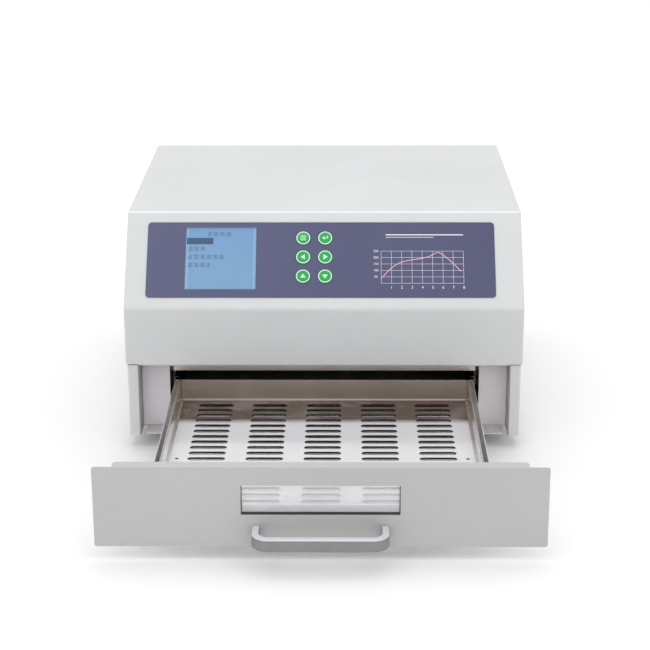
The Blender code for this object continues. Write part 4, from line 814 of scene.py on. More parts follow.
def metal(name, colour, second, rough, stretch=(30.0, 900.0, 900.0), relief=0.000006, clouds=12.0,
          tint_and_shade=None, tint_and_shade_colour=(0.4, 0.29, 0.2), scratches=60.0, scratch_shade=0.5, dust=0.0,
          painted_dark_band=None, painted_dark_band_colour=(0.3, 0.28, 0.26), metallic=1.0, **plain):
    """Bare or plated metal: drawn lines and scratches, and if given a tint that deepens between two
    depths (a painted reflection of the dark chamber on the tray floor) and a dark band between two
    distances from the middle plane (painted shade in the chamber, a painted dark reflection on the
    tray's flanges)."""
    look = Look(name, Metallic=metallic, **plain)
    grain = look.group(grain_group, scale=400.0, cloud_scale=clouds)
    brushed = look.group(brushed_group, stretch=stretch, scratch_scale=scratches)
    shade = look.mix(grain["Clouds"], colour, second)
    if painted_dark_band:
        shade = look.mix(look.within(0, *painted_dark_band), shade, painted_dark_band_colour)
    if tint_and_shade:
        tint_and_shade_mask = look.group(tint_group, start=tint_and_shade[0], end=tint_and_shade[1])
        shade = look.mix(tint_and_shade_mask["Mask"], shade, tint_and_shade_colour)
    marks = look.math("MULTIPLY", brushed["Scratches"], scratch_shade)
    shade = look.mix(marks, shade, (0.85, 0.84, 0.82))
    if dust:
        settled = look.group(dust_group, amount=dust)
        shade = look.mix(settled["Mask"], shade, (0.45, 0.42, 0.38))
    look.set("Base Color", shade)
    uneven = look.math("ADD", look.math("MULTIPLY", brushed["Lines"], 0.6),
                       look.math("MULTIPLY", grain["Clouds"], 0.4))
    look.set("Roughness", look.ranged(uneven, 0.2, 0.9, rough[0], rough[1]))
    look.bump(look.math("SUBTRACT", brushed["Lines"],
                        look.math("MULTIPLY", brushed["Scratches"], 0.8)), relief)
    return look.material


def lacquer_look():
    """Silver lacquer with painted light: much paler on the faces that look up than on the sides."""
    look = Look("silver_lacquer", Metallic=0.35, Coat_Weight=0.3, Coat_Roughness=0.15)
    grain = look.group(grain_group, scale=2200.0, cloud_scale=25.0)
    brushed = look.group(brushed_group, stretch=(12.0, 1400.0, 1400.0), scratch_scale=80.0)
    facing = add_node(look.tree, "ShaderNodeSeparateXYZ",
                      vector=look.tree.nodes.new("ShaderNodeNewGeometry").outputs["Normal"])
    shade = look.mix(grain["Clouds"], (0.27, 0.26, 0.265), (0.24, 0.232, 0.235))
    # Painted light: the faces that look up take a much paler colour.
    shade = look.mix(look.ranged(facing.outputs[2], 0.3, 0.9), shade, (0.78, 0.78, 0.84))
    marks = look.math("MULTIPLY", brushed["Scratches"], 0.15)
    look.set("Base Color", look.mix(marks, shade, (0.6, 0.6, 0.6)))
    look.set("Roughness", look.ranged(grain["Height"], 0.0, 1.0, 0.3, 0.42))
    look.bump(brushed["Lines"], 0.000004)
    return look.material


def glass_look(name, colour, roughness, ior=1.5, smudge=0.1, clear=1.0, **plain):
    """Clear or milky glass with faint smudges."""
    look = Look(name, IOR=ior, Transmission_Weight=clear, **plain)
    grain = look.group(grain_group, scale=300.0, cloud_scale=30.0)
    look.set("Base Color", look.mix(grain["Clouds"], colour, [part * 0.96 for part in colour]))
    look.set("Roughness", look.ranged(grain["Clouds"], 0.3, 1.0, roughness, roughness + smudge))
    return look.material


def film_look():
    """Printed polyester: navy with a slow change of tone from left to right."""
    colours = bpy.context.scene.oven_controls
    look = Look("printed_film", roughness=0.4, Coat_Weight=0.15, Coat_Roughness=0.35)
    grain = look.group(grain_group, scale=1800.0, cloud_scale=5.0)
    along = add_node(look.tree, "ShaderNodeSeparateXYZ", vector=object_place(look.tree))
    side = look.ranged(along.outputs[0], -0.192, 0.185)
    shade = look.mix(side, colours.film_left, colours.film_right)
    look.set("Base Color", look.mix(look.math("MULTIPLY", grain["Clouds"], 0.12), shade,
                                    (0.2, 0.2, 0.3)))
    look.set("Roughness", look.ranged(grain["Height"], 0.0, 1.0, 0.38, 0.5))
    look.bump(grain["Height"], 0.000006)
    return look.material


def display_look():
    """Blue monochrome display: a lit field of small square dots, paler at its rim."""
    look = Look("display_field", roughness=0.12, Coat_Weight=0.5, Coat_Roughness=0.05)
    place = object_place(look.tree)
    apart = add_node(look.tree, "ShaderNodeSeparateXYZ", vector=place)
    dots = []
    for axis in (0, 2):
        cell = look.math("FRACT", look.math("MULTIPLY", apart.outputs[axis], 1900.0), 0.0)
        near = look.math("ABSOLUTE", look.math("SUBTRACT", cell, 0.5), 0.0)
        dots.append(look.ranged(near, 0.36, 0.44, 1.0, 0.0))
    square = look.math("MULTIPLY", dots[0], dots[1])
    clouds = look.group(grain_group, cloud_scale=14.0)["Clouds"]
    field = look.mix(clouds, (0.13, 0.29, 0.46), (0.15, 0.32, 0.5))
    shade = look.mix(square, (0.16, 0.33, 0.5), field)
    centre = look.math("ABSOLUTE", look.math("SUBTRACT", apart.outputs[0], -0.112), 0.0)
    rim = look.ranged(centre, 0.0345, 0.0355, 0.0, 0.4)
    upper = look.ranged(apart.outputs[2], 0.17, 0.235)
    shade = look.mix(upper, shade, look.mix(0.5, shade, (0.11, 0.25, 0.56)))
    shade = look.mix(rim, shade, (0.3, 0.5, 0.8))
    look.set("Base Color", shade)
    look.set("Emission Color", shade)
    look.set("Emission Strength", 0.12)
    return look.material


def board_look():
    """Green circuit board: paler tracks and tinned pads under the mask."""
    look = Look("circuit_board", Coat_Weight=0.4, Coat_Roughness=0.2)
    place = object_place(look.tree)
    tracks = add_node(look.tree, "ShaderNodeTexBrick", {"offset": 0.37, "squash": 0.7},
                      vector=place, scale=120.0, mortar_size=0.09,
                      color1=(0.02, 0.16, 0.06, 1), color2=(0.015, 0.13, 0.05, 1),
                      mortar=(0.05, 0.3, 0.12, 1))
    pads = add_node(look.tree, "ShaderNodeTexVoronoi", vector=place, scale=260.0, randomness=0.35)
    pad = look.ranged(pads.outputs["Distance"], 0.16, 0.2, 1.0, 0.0)
    look.set("Base Color", look.mix(pad, tracks.outputs[0], (0.6, 0.58, 0.5)))
    look.set("Metallic", look.math("MULTIPLY", pad, 0.8))
    look.set("Roughness", look.ranged(tracks.outputs["Fac"], 0.0, 1.0, 0.42, 0.3))
    look.bump(tracks.outputs["Fac"], 0.00003)
    return look.material


def blanket_look():
    """Needled ceramic fibre: matted threads over soft lumps."""
    look = Look("fibre_blanket", roughness=0.95)
    place = object_place(look.tree)
    lumps = add_node(look.tree, "ShaderNodeTexNoise", vector=place, scale=60.0, detail=8.0,
                     roughness=0.7)
    threads = add_node(look.tree, "ShaderNodeTexWave", vector=place, scale=90.0, distortion=26.0,
                       detail=4.0, detail_scale=2.2)
    mixed = look.math("ADD", look.math("MULTIPLY", threads.outputs["Fac"], 0.4), lumps.outputs[0])
    look.set("Base Color", look.mix(look.ranged(mixed, 0.4, 1.1), (0.62, 0.57, 0.46),
                                    (0.86, 0.83, 0.74)))
    look.bump(mixed, 0.0009)
    return look.material


def striped_look(name, axis, per_metre, first, second, rough, relief, metallic=0.0):
    """Parallel ribs across one axis, as of laminations or a flat cable's cores."""
    look = Look(name, roughness=rough, Metallic=metallic)
    apart = add_node(look.tree, "ShaderNodeSeparateXYZ", vector=object_place(look.tree))
    cell = look.math("FRACT", look.math("MULTIPLY", apart.outputs[axis], per_metre), 0.0)
    near = look.math("ABSOLUTE", look.math("SUBTRACT", cell, 0.5), 0.0)
    ridge = look.ranged(near, 0.25, 0.5, 1.0, 0.0)
    grain = look.group(grain_group, scale=800.0, cloud_scale=30.0)
    shade = look.mix(ridge, first, second)
    look.set("Base Color", look.mix(look.math("MULTIPLY", grain["Clouds"], 0.25), shade,
                                    [part * 0.6 for part in second]))
    look.bump(ridge, relief)
    return look.material


def case_colours():
    return bpy.context.scene.oven_case


def paint_look(name, colour, dust=0.05, **more):
    darker = [part * 0.955 for part in colour]
    return coated(name, colour, darker, (0.4, 0.56), relief=0.000012, scale=1500.0, clouds=6.0,
                  dust=dust, **more)


FINISHES = {
    # Painted highlight: a narrow pale patch along the hood's ridge fold.
    "case_paint": lambda: paint_look("case_paint", case_colours().case_colour,
                                     patch=[((1, 0.0245, 0.0262), (2, 0.2484, 0.26))],
                                     patch_colour=(0.9, 0.9, 0.93)),
    # Painted shade: a dark patch on each chassis strip's inner return.
    "chassis_paint": lambda: paint_look("chassis_paint", case_colours().chassis_colour,
                                        patch=[((0, 0.2, 0.2021),)],
                                        patch_colour=(0.46, 0.46, 0.47)),
    # The drawer front takes a darker copy of the hood's paint: painted shade.
    "front_paint": lambda: paint_look("front_paint", case_colours().front_colour, dust=0.03),
    # The mouth frame takes a much paler copy of the base plate's paint: painted light for the shaded
    # recess.
    "frame_paint": lambda: paint_look("frame_paint", case_colours().frame_colour),
    "base_paint": lambda: paint_look("base_paint", case_colours().base_colour),
    "foot_rubber": lambda: coated("foot_rubber", (0.03, 0.03, 0.031), (0.02, 0.02, 0.021),
                                  (0.7, 0.85), relief=0.00006, dust=0.35, clouds=80.0),
    # Painted shade: the liner's band just outside the mouth's edges is near black.
    "liner_steel": lambda: metal("liner_steel", (0.95, 0.9, 0.86), (0.88, 0.83, 0.79), (0.26, 0.42),
                                 metallic=0.6, painted_dark_band=(0.166, 0.3), painted_dark_band_colour=(0.02, 0.018, 0.016),
                                 tint_and_shade=(-0.06, 0.2), tint_and_shade_colour=(0.2, 0.14, 0.1), dust=0.1),
    # The tray floor's dark brown back part is a painted reflection of the dark chamber.
    "tray_steel": lambda: metal("tray_steel", (0.96, 0.95, 0.97), (0.92, 0.91, 0.93), (0.08, 0.17),
                                tint_and_shade=(-0.104, -0.09), tint_and_shade_colour=(0.1, 0.075, 0.06),
                                scratches=45.0, scratch_shade=0.12, relief=0.0000006,
                                metallic=0.35),
    "tray_rear_steel": lambda: metal("tray_rear_steel", (0.6, 0.5, 0.44), (0.52, 0.43, 0.38),
                                     (0.28, 0.42), scratches=45.0, scratch_shade=0.2,
                                     relief=0.000002, metallic=0.8),
    # Near-black slot rims: painted shade from under the tray, seen through the slots.
    "slot_rim_steel": lambda: metal("slot_rim_steel", (0.06, 0.052, 0.048), (0.03, 0.026, 0.024),
                                    (0.4, 0.6), clouds=60.0, scratch_shade=0.1),
    # The dark band on the tray sides' flange tops is a painted dark reflection.
    "tray_side_steel": lambda: metal("tray_side_steel", (0.93, 0.92, 0.92), (0.85, 0.84, 0.83),
                                     (0.16, 0.3), stretch=(900.0, 30.0, 900.0), metallic=0.8,
                                     painted_dark_band=(0.1578, 0.1622), painted_dark_band_colour=(0.13, 0.12, 0.112),
                                     tint_and_shade=(-0.2, 0.0), tint_and_shade_colour=(0.42, 0.34, 0.28)),
    "fan_steel": lambda: metal("fan_steel", (0.6, 0.59, 0.57), (0.5, 0.48, 0.45), (0.25, 0.4)),
    "fibre_blanket": blanket_look,
    "zinc_steel": lambda: metal("zinc_steel", (0.62, 0.63, 0.62), (0.5, 0.51, 0.52), (0.28, 0.46),
                                stretch=(500.0, 500.0, 500.0), clouds=90.0, dust=0.08),
    "rail_steel": lambda: metal("rail_steel", (0.66, 0.67, 0.67), (0.56, 0.57, 0.58), (0.2, 0.34),
                                stretch=(900.0, 20.0, 900.0), clouds=40.0,
                                tint_and_shade=(-0.11, -0.06), tint_and_shade_colour=(0.09, 0.08, 0.075)),
    "screw_steel": lambda: metal("screw_steel", (0.6, 0.6, 0.59), (0.48, 0.48, 0.48), (0.25, 0.4),
                                 stretch=(800.0, 800.0, 800.0), clouds=200.0),
    "quartz": lambda: glass_look("quartz", (0.93, 0.9, 0.84), 0.12, ior=1.46, smudge=0.2),
    "ceramic": lambda: coated("ceramic", (0.76, 0.73, 0.66), (0.68, 0.64, 0.56), (0.5, 0.7),
                              relief=0.00005, scale=900.0, clouds=45.0, dust=0.1),
    "dark_steel": lambda: metal("dark_steel", (0.12, 0.1, 0.09), (0.07, 0.06, 0.055), (0.35, 0.55),
                                clouds=50.0, scratch_shade=0.2),
    "heater_wire": lambda: metal("heater_wire", (0.3, 0.24, 0.2), (0.2, 0.16, 0.14), (0.4, 0.6),
                                 clouds=120.0, scratch_shade=0.1),
    "black_plastic": lambda: coated("black_plastic", (0.022, 0.022, 0.023), (0.03, 0.03, 0.031),
                                    (0.38, 0.55), relief=0.00002, dust=0.1, clouds=60.0),
    "fan_plastic": lambda: coated("fan_plastic", (0.018, 0.018, 0.018), (0.026, 0.026, 0.027),
                                  (0.3, 0.45), relief=0.00001, dust=0.2, clouds=60.0),
    "brass": lambda: metal("brass", (0.72, 0.55, 0.25), (0.6, 0.43, 0.2), (0.25, 0.4),
                           clouds=150.0),
    "printed_film": film_look,
    "printed_white": lambda: coated("printed_white", (0.92, 0.92, 0.95), (0.88, 0.88, 0.92),
                                    (0.4, 0.5), relief=0.000003, scale=2500.0),
    "printed_grid": lambda: coated("printed_grid", (0.74, 0.74, 0.84), (0.68, 0.68, 0.78),
                                   (0.4, 0.5), relief=0.000003, scale=2500.0),
    "printed_pink": lambda: coated("printed_pink", (0.86, 0.5, 0.58), (0.8, 0.44, 0.52),
                                   (0.4, 0.5), relief=0.000003, scale=2500.0),
    "display_field": display_look,
    "display_ink": lambda: coated("display_ink", (0.09, 0.19, 0.33), (0.11, 0.22, 0.37),
                                  (0.3, 0.4), relief=0.000002, scale=2500.0),
    "display_bar": lambda: coated("display_bar", (0.03, 0.08, 0.17), (0.04, 0.1, 0.2),
                                  (0.3, 0.4), relief=0.000002, scale=2500.0),
    "key_green": lambda: coated("key_green", bpy.context.scene.oven_controls.key_colour,
                                [part * 0.85 for part in
                                 bpy.context.scene.oven_controls.key_colour],
                                (0.25, 0.38), relief=0.000006, scale=1800.0, clouds=120.0),
    "key_ring": lambda: coated("key_ring", (0.68, 0.92, 0.78), (0.64, 0.88, 0.74), (0.35, 0.5),
                               relief=0.000004, scale=2500.0),
    "key_mark": lambda: coated("key_mark", (0.7, 0.92, 0.76), (0.66, 0.88, 0.72), (0.35, 0.5),
                               relief=0.000004, scale=2500.0),
    "window_glass": lambda: glass_look("window_glass", (0.98, 0.985, 1.0), 0.0, ior=1.2,
                                       smudge=0.0, clear=0.2, Alpha=0.42),
    "circuit_board": board_look,
    "cable_grey": lambda: striped_look("cable_grey", 0, 790.0, (0.12, 0.12, 0.125),
                                       (0.34, 0.34, 0.35), 0.55, 0.0004),
    "satin_aluminium": lambda: metal("satin_aluminium", (0.5, 0.49, 0.49), (0.46, 0.455, 0.455),
                                     (0.3, 0.4), stretch=(12.0, 1400.0, 1400.0), clouds=30.0,
                                     scratch_shade=0.1, relief=0.000003),
    "silver_lacquer": lacquer_look,
    "laminations": lambda: striped_look("laminations", 1, 2000.0, (0.03, 0.026, 0.024),
                                        (0.13, 0.12, 0.11), 0.45, 0.0002, metallic=0.6),
    "copper_winding": lambda: striped_look("copper_winding", 2, 1100.0, (0.16, 0.05, 0.02),
                                           (0.5, 0.21, 0.08), 0.35, 0.0003, metallic=0.5),
    "relay_blue": lambda: coated("relay_blue", (0.03, 0.12, 0.4), (0.04, 0.14, 0.44),
                                 (0.3, 0.42), relief=0.00001, dust=0.15),
    "cap_black": lambda: coated("cap_black", (0.03, 0.03, 0.05), (0.04, 0.04, 0.06),
                                (0.3, 0.42), relief=0.00001, dust=0.15),
}
MADE_FINISHES = {}


def finish(name):
    if name not in MADE_FINISHES:
        MADE_FINISHES[name] = FINISHES[name]()
    return MADE_FINISHES[name]


# ---------------------------------------------------------------- case

def rounded_end(x, z, radius, y_start, y_end):
    """Cutter that rounds the corner of an upright plate at x, z, open side away from x 0."""
    side = 1 if x > 0 else -1
    turn = [math.pi / 2 * step / 6 for step in range(7)]
    curve = [(x - side * radius * (1 - math.cos(a)), z + radius * (1 - math.sin(a))) for a in turn]
    outline = [(x + side, z + radius)] + curve + [(x - side * radius, z - 1), (x + side, z - 1)]
    return slab("XZ", y_start, y_end, outline)


def hood_mesh(edge):
    """Folded cover with rounded folds, welded corners, openings and the lip under its fascia."""
    side = [(FASCIA_Y, SIDE_BOTTOM), (FASCIA_Y, FOLD_Z), (RIDGE_Y, TOP_Z), (BACK_Y, TOP_Z),
            (BACK_Y, SIDE_BOTTOM)]
    bm = bmesh.new()
    bm.from_mesh(slab("YZ", -HALF_WIDTH, HALF_WIDTH, side))
    bmesh.ops.dissolve_limit(bm, angle_limit=0.01, verts=bm.verts[:], edges=bm.edges[:])

    def low(vert):
        return vert.co.z < SIDE_BOTTOM + 0.01

    def rear(vert):
        return vert.co.y > BACK_Y - 0.01

    folds = [item for item in bm.edges
             if not all(map(low, item.verts)) and not all(map(rear, item.verts))]
    bmesh.ops.bevel(bm, geom=folds, offset=edge, offset_type="OFFSET", segments=5, profile=0.5,
                    affect="EDGES", clamp_overlap=True)
    open_faces = [face for face in bm.faces
                  if all(map(low, face.verts)) or all(map(rear, face.verts))]
    bmesh.ops.delete(bm, geom=open_faces, context="FACES")
    shell = evaluated(to_mesh(bm, outwards=False),
                      ("SOLIDIFY", {"thickness": SHEET, "offset": -1.0, "use_even_offset": True}))
    half = SHEET / 2
    face, under = FASCIA_Y + half, FASCIA_BOTTOM + half
    lip = strip(filleted([(face, SIDE_BOTTOM + 1), (face, under), (FASCIA_Y + LIP_REACH, under)], 1.1),
                SHEET)
    shell = joined(shell, slab("YZ", -STRIP_X + 0.2, STRIP_X - 0.2, lip))
    place = MACHINE.inverted() @ PANEL
    tools = [moved(slab("XY", -6, 6, rectangle(*SCREEN)), place)]
    tools += [moved(slab("XY", -6, 6, circle(x, up, 8.4)), place) for x, up in KEY_CENTRES]
    tools += [rounded_end(x, SIDE_BOTTOM, 2.4, -4, 1) for x in (-HALF_WIDTH, HALF_WIDTH)]
    return eased(cut(shell, *tools), 0)


def chassis_side_mesh(side):
    """Side wall with its front strip folded round and back, lower corner rounded."""
    edge = STRIP_X + SHEET / 2
    plan = filleted([(212.9, 396.2), (212.9, 0.6), (edge, 0.6), (edge, 25.7)], 1.5)
    wall = slab("XY", 0, 93.9, strip([(x * side, y) for x, y in plan], SHEET))
    above = block((-260, -30, 81.9), (260, 45.2, 120))
    corner = rounded_end(213.5 * side, 0, 2.6, -2, 2.5)
    return eased(cut(wall, above, corner), 0.2)


def base_mesh():
    """Bottom plate with its narrower ledge."""
    ledge, wide = 195.7, 212.0
    front = [(-ledge, 25.7), (-ledge, 1.5), (ledge, 1.5), (ledge, 25.7)]
    outline = filleted(front, 3) + [(wide, 25.7), (wide, 396.2), (-wide, 396.2), (-wide, 25.7)]
    return eased(slab("XY", 1.0, 2.2, outline), 0.35)


def rear_panel_mesh():
    """Back plate with its fan hole, vents and cut-outs."""
    vents = []
    for column in (-1, 1):
        for row in range(6):
            x = EXHAUST[0] + column * 25.2
            z = POWER_ROW_Z - 9 + row * 9
            vents.append(rounded(x - 21, z, x + 21, z + 4, 1.99, 5))
    outline = rectangle(-213.5, 1, 213.5, 233.5)
    inlet = rectangle(-174.4, POWER_ROW_Z - 10.9, -145.6, POWER_ROW_Z + 10.9)
    switch = rectangle(-88.7, POWER_ROW_Z - 11.78, -61.3, POWER_ROW_Z + 11.78)
    return eased(slab("XZ", 396.5, 397.7, outline, circle(*EXHAUST, 38, 64), inlet,
                      circle(-112, POWER_ROW_Z, 5.8, 32), switch, *vents), 0.15, 1)


def foot_mesh():
    """Tapered rubber foot with a screw well in its underside."""
    profile = [(0, 0.7)] + arc(9.4, -0.1, 0.8, 90, 0) + [(11.6, -12.8)]
    profile += arc(10.6, -13.9, 1.1, 0, -90) + [(4.2, -15), (3.8, -14.4), (3.8, -6), (0, -6)]
    mesh = turned(profile, 40)
    mesh.shade_smooth()
    mesh.set_sharp_from_angle(angle=math.radians(40))
    return mesh


def build_case(settings):
    body = "oven_body"
    deliver("hood_shell", hood_mesh(settings.fold_radius / MM), MACHINE, "case_paint", body,
            "case_paint", "hood_cover")
    for side, name in ((-1, "left"), (1, "right")):
        deliver(f"side_wall_{name}", chassis_side_mesh(side), MACHINE, "chassis_paint", body,
                "case_paint", f"chassis_side_{name}")
        faces = (0.0, math.pi / 2 * side, 0.0)
        upper = [(HALF_WIDTH * side, y, 89.5) for y in (60, 200, 340)]
        deliver(f"hood_screws_{name}", screws(upper, 3.4, 1.5, faces, 3 + side), MACHINE,
                "screw_steel", body, "zinc_steel")
        lower = [(213.5 * side, y, 12.0) for y in (40, 210, 375)]
        deliver(f"base_screws_{name}", screws(lower, 3.0, 1.4, faces, 8 + side), MACHINE,
                "screw_steel", body, "zinc_steel")
    for side, name in ((-1, "left"), (1, "right")):
        # A black strip under each lower corner of the hood shows through the gap there: painted shade.
        gap_shade_strip = block((201.6, 1.5, 80.3), (212.6, 2.5, 85.0))
        gap_shade_strip = eased(gap_shade_strip, 0.2, 1)
        deliver(f"hood_seal_{name}", gap_shade_strip if side > 0 else mirror_image(gap_shade_strip), MACHINE,
                "foot_rubber", body, "black_plastic")
    deliver("base_ledge", base_mesh(), MACHINE, "base_paint", body, "frame_paint", "base_plate")
    frame = slab("XZ", 26, 27.2, rectangle(-200.8, 2.5, 200.8, 140),
                 rectangle(-LINER_X, 18, LINER_X, 71.5))
    deliver("mouth_frame", eased(frame, 0.25), MACHINE, "frame_paint", body, "frame_paint",
            "front_frame")
    deliver("back_plate", rear_panel_mesh(), MACHINE, "chassis_paint", body, "case_paint",
            "rear_panel")
    for x, y, name in ((-180, 60, "front_left"), (180, 60, "front_right"), (-180, 360, "rear_left"),
                       (180, 360, "rear_right")):
        deliver(f"rubber_foot_{name}", moved(foot_mesh(), at(x, y, 0)), MACHINE, "foot_rubber",
                body, "foot_rubber", f"foot_{name}")


# ---------------------------------------------------------------- chamber

def build_chamber(settings):
    body = "oven_body"
    helix = grown(tree_of(helix_tree), turns=float(settings.filament_turns), length=300.0)
    helix.shade_smooth()
    for index, y in enumerate(HEATER_Y):
        place = at(0, y, HEATER_Z)
        end = 161.0
        tube = turned([(4.2, -end), (4.9, -end), (5.0, -end + 0.3), (5.0, end - 0.3), (4.9, end),
                       (4.2, end)], 32, ring=True)
        tube.shade_smooth()
        tube.set_sharp_from_angle(angle=math.radians(50))
        number = index + 1
        deliver(f"quartz_tube_{number}", moved(tube, ALONG_X, place), MACHINE, "quartz", body,
                "quartz", f"heater_tube_{number}")
        coil = moved(helix.copy(), at(0, 0, -150), ALONG_X, place)
        deliver(f"heater_coil_{number}", coil, MACHINE, "heater_wire", body, "dark_steel")
        caps = []
        for side in (-1, 1):
            cap = turned(TUBE_CAP, 24)
            turn = Matrix.Rotation(math.pi if side > 0 else 0, 4, "X")
            caps.append(moved(cap, turn, at(0, 0, 166.6 * side), ALONG_X, place))
        ends = gathered(*caps)
        ends.shade_smooth()
        ends.set_sharp_from_angle(angle=math.radians(40))
        deliver(f"heater_caps_{number}", ends, MACHINE, "ceramic", body, "ceramic")


# ---------------------------------------------------------------- rear fittings

def fan_frame_mesh():
    holes = [circle(x, z, 2.2, 20) for x in (-35.7, 35.7) for z in (-35.7, 35.7)]
    shell = slab("XZ", 0, 25, rounded(-40, -40, 40, 40, 5), circle(0, 0, 38, 64), *holes)
    arms = []
    for angle in (0, math.pi / 2):
        arm = block((-39, 0, -2.2), (39, 3, 2.2))
        arms.append(moved(arm, Matrix.Rotation(angle, 4, "Y")))
    seat = moved(turned([(0, 0), (16.4, 0), (17, 0.6), (17, 3), (0, 3)], 48), ALONG_Y)
    return eased(joined(shell, *arms, seat), 0.35)


def rotor_mesh(settings):
    """Hub and swept blades about y, their front at y 3.8."""
    hub = turned([(0, 3.8)] + arc(15.4, 5.4, 1.6, -90, 0) + arc(15.8, 22.2, 1.2, 0, 90)
                 + [(12, 23.4), (11.4, 22.8), (0, 22.8)], 48)
    bm = bmesh.new()
    rows = []
    for step in range(9):
        radius = 16.2 + (36.2 - 16.2) * step / 8
        sweep = math.radians(16) * (step / 8) ** 1.5
        chord = 15 + 10 * step / 8
        rise = 15.5 - 4.5 * step / 8
        row = []
        for part in range(9):
            share = part / 8 - 0.5
            camber = 1.6 * math.cos(math.pi * share)
            turn = sweep + share * chord / radius
            row.append(bm.verts.new((radius * math.cos(turn), radius * math.sin(turn),
                                     13.6 + rise * share + camber)))
        rows.append(row)
    for first, second in zip(rows, rows[1:]):
        for part in range(8):
            bm.faces.new((first[part], first[part + 1], second[part + 1], second[part]))
    blade = evaluated(to_mesh(bm), ("SOLIDIFY", {"thickness": 1.1, "offset": 0.0}))
    blades = grown(tree_of(ring_tree), blade, count=settings.fan_blades)
    wheel = gathered(hub, blades)
    wheel.shade_smooth()
    wheel.set_sharp_from_angle(angle=math.radians(45))
    return moved(wheel, ALONG_Y)


def inlet_mesh():
    """Inlet flange with fixing ears and an open chamfered socket."""
    flange = slab("XZ", 0.3, 2.8, rounded(-24, -14, 24, 14, 4))
    shell = block((-14, -14.6, -10.3), (14, 0.8, 10.3))
    socket = [(-12, -8.5), (12, -8.5), (12, 4.5), (8, 8.5), (-8, 8.5), (-12, 4.5)]
    return eased(cut(joined(flange, shell), slab("XZ", -12.2, 6, socket)), 0.35)


def fuse_mesh():
    """Screw-cap fuse holder with a ribbed grip and a driver slot."""
    cap = turned([(0, -30), (5.5, -30), (5.5, 0.3), (7.0, 0.3), (7.0, 2.2), (6.2, 2.5), (6.2, 8.0)]
                 + arc(5.4, 8.2, 0.8, 0, 90) + [(0, 9.0)], 40)
    cap = cut(cap, block((-8, -0.6, 7.6), (8, 0.6, 12)))
    rib = block((6.0, -0.35, 2.6), (6.75, 0.35, 8.2))
    ribs = grown(tree_of(ring_tree), rib, count=20)
    return eased(moved(gathered(cap, ribs), ALONG_Y), 0)


def rocker_mesh():
    """Rocker with two dished faces, about its pivot."""
    half = 10.6
    crest = []
    for step in range(13):
        share = step / 6 - 1
        crest.append((4.4 + 1.05 * share * share, -share * half * 0.97))
    side = [(-3, half * 0.8)] + [(y - 1.4 if index in (0, 12) else y, z)
                                 for index, (y, z) in enumerate(crest)] + [(-3, -half * 0.8)]
    side[1:2] = [(3.4, half), crest[0]]
    side[-2:-1] = [crest[12], (3.4, -half)]
    return eased(slab("YZ", -9.5, 9.5, side), 0.35, 2, 30)


def build_rear(settings):
    body = "oven_body"
    fan = MACHINE @ at(EXHAUST[0], 371.2, EXHAUST[1])
    deliver("exhaust_frame", fan_frame_mesh(), fan, "fan_plastic", body, "black_plastic",
            "exhaust_fan_frame")
    deliver("exhaust_rotor", rotor_mesh(settings), fan, "fan_plastic", "exhaust_fan_rotor",
            "black_plastic", "exhaust_fan_rotor")
    guard = grown(tree_of(guard_tree), rings=settings.guard_rings, radius=38.0)
    guard.shade_smooth()
    deliver("wire_guard", moved(guard, ALONG_Y), MACHINE @ at(EXHAUST[0], 400.1, EXHAUST[1]),
            "screw_steel", body, "zinc_steel", "exhaust_fan_guard")
    behind = (-math.pi / 2, 0.0, 0.0)
    sides = (-FAN_SCREW, FAN_SCREW)
    corners = [(EXHAUST[0] + x, 399.2, EXHAUST[1] + z) for x in sides for z in sides]
    deliver("fan_screws", screws(corners, 3.4, 2.0, behind, 2), MACHINE, "screw_steel", body,
            "zinc_steel")
    edge = [(x, 397.7, z) for x in (-205, 0, 205) for z in (10, 224)] + [(-205, 397.7, 120),
                                                                        (205, 397.7, 120)]
    deliver("back_screws", screws(edge, 3.2, 1.5, behind, 5), MACHINE, "screw_steel", body,
            "zinc_steel")
    row = MACHINE @ at(0, 397.7, POWER_ROW_Z)
    deliver("inlet_body", inlet_mesh(), row @ at(-160, 0, 0), "black_plastic", body,
            "black_plastic", "mains_inlet")
    pins = [block((x - 1, -12.3, z - 2.1), (x + 1, -2.9, z + 2.1))
            for x, z in ((-7, -2.1), (7, -2.1), (0, 3.2))]
    deliver("inlet_pins", eased(gathered(*pins), 0.4), row @ at(-160, 0, 0), "screw_steel", body,
            "zinc_steel")
    ears = [(-160 + x, 400.5, POWER_ROW_Z) for x in (-19, 19)]
    deliver("inlet_screws", screws(ears, 2.7, 1.3, behind, 6), MACHINE, "screw_steel", body,
            "zinc_steel")
    deliver("fuse_cap", fuse_mesh(), row @ at(-112, 0, 0), "black_plastic", body, "black_plastic",
            "fuse_holder")
    pivot = row @ at(-75, 0, 0) @ Matrix.Rotation(math.radians(9), 4, "X")
    deliver("rocker_key", rocker_mesh(), pivot, "black_plastic", "power_rocker", "black_plastic",
            "power_rocker")
    bar = block((-0.5, 4.6, -7.4), (0.5, 4.86, -3.8))
    ring = slab("XZ", 4.6, 4.86, circle(0, 5.6, 2.0, 32), circle(0, 5.6, 1.3, 32))
    deliver("rocker_marks", gathered(bar, ring), pivot, "printed_white", "power_rocker",
            "black_plastic")


# ---------------------------------------------------------------- controls

def key_mesh():
    profile = [(0, -2.3), (9.2, -2.3), (9.2, -1.5), (8.0, -1.5), (8.0, 1.0)]
    profile += arc(7.3, 0.9, 0.7, 0, 90, 6) + [(5.0, 1.66), (2.5, 1.69), (0, 1.7)]
    mesh = turned(profile, 56)
    mesh.shade_smooth()
    mesh.set_sharp_from_angle(angle=math.radians(40))
    return mesh


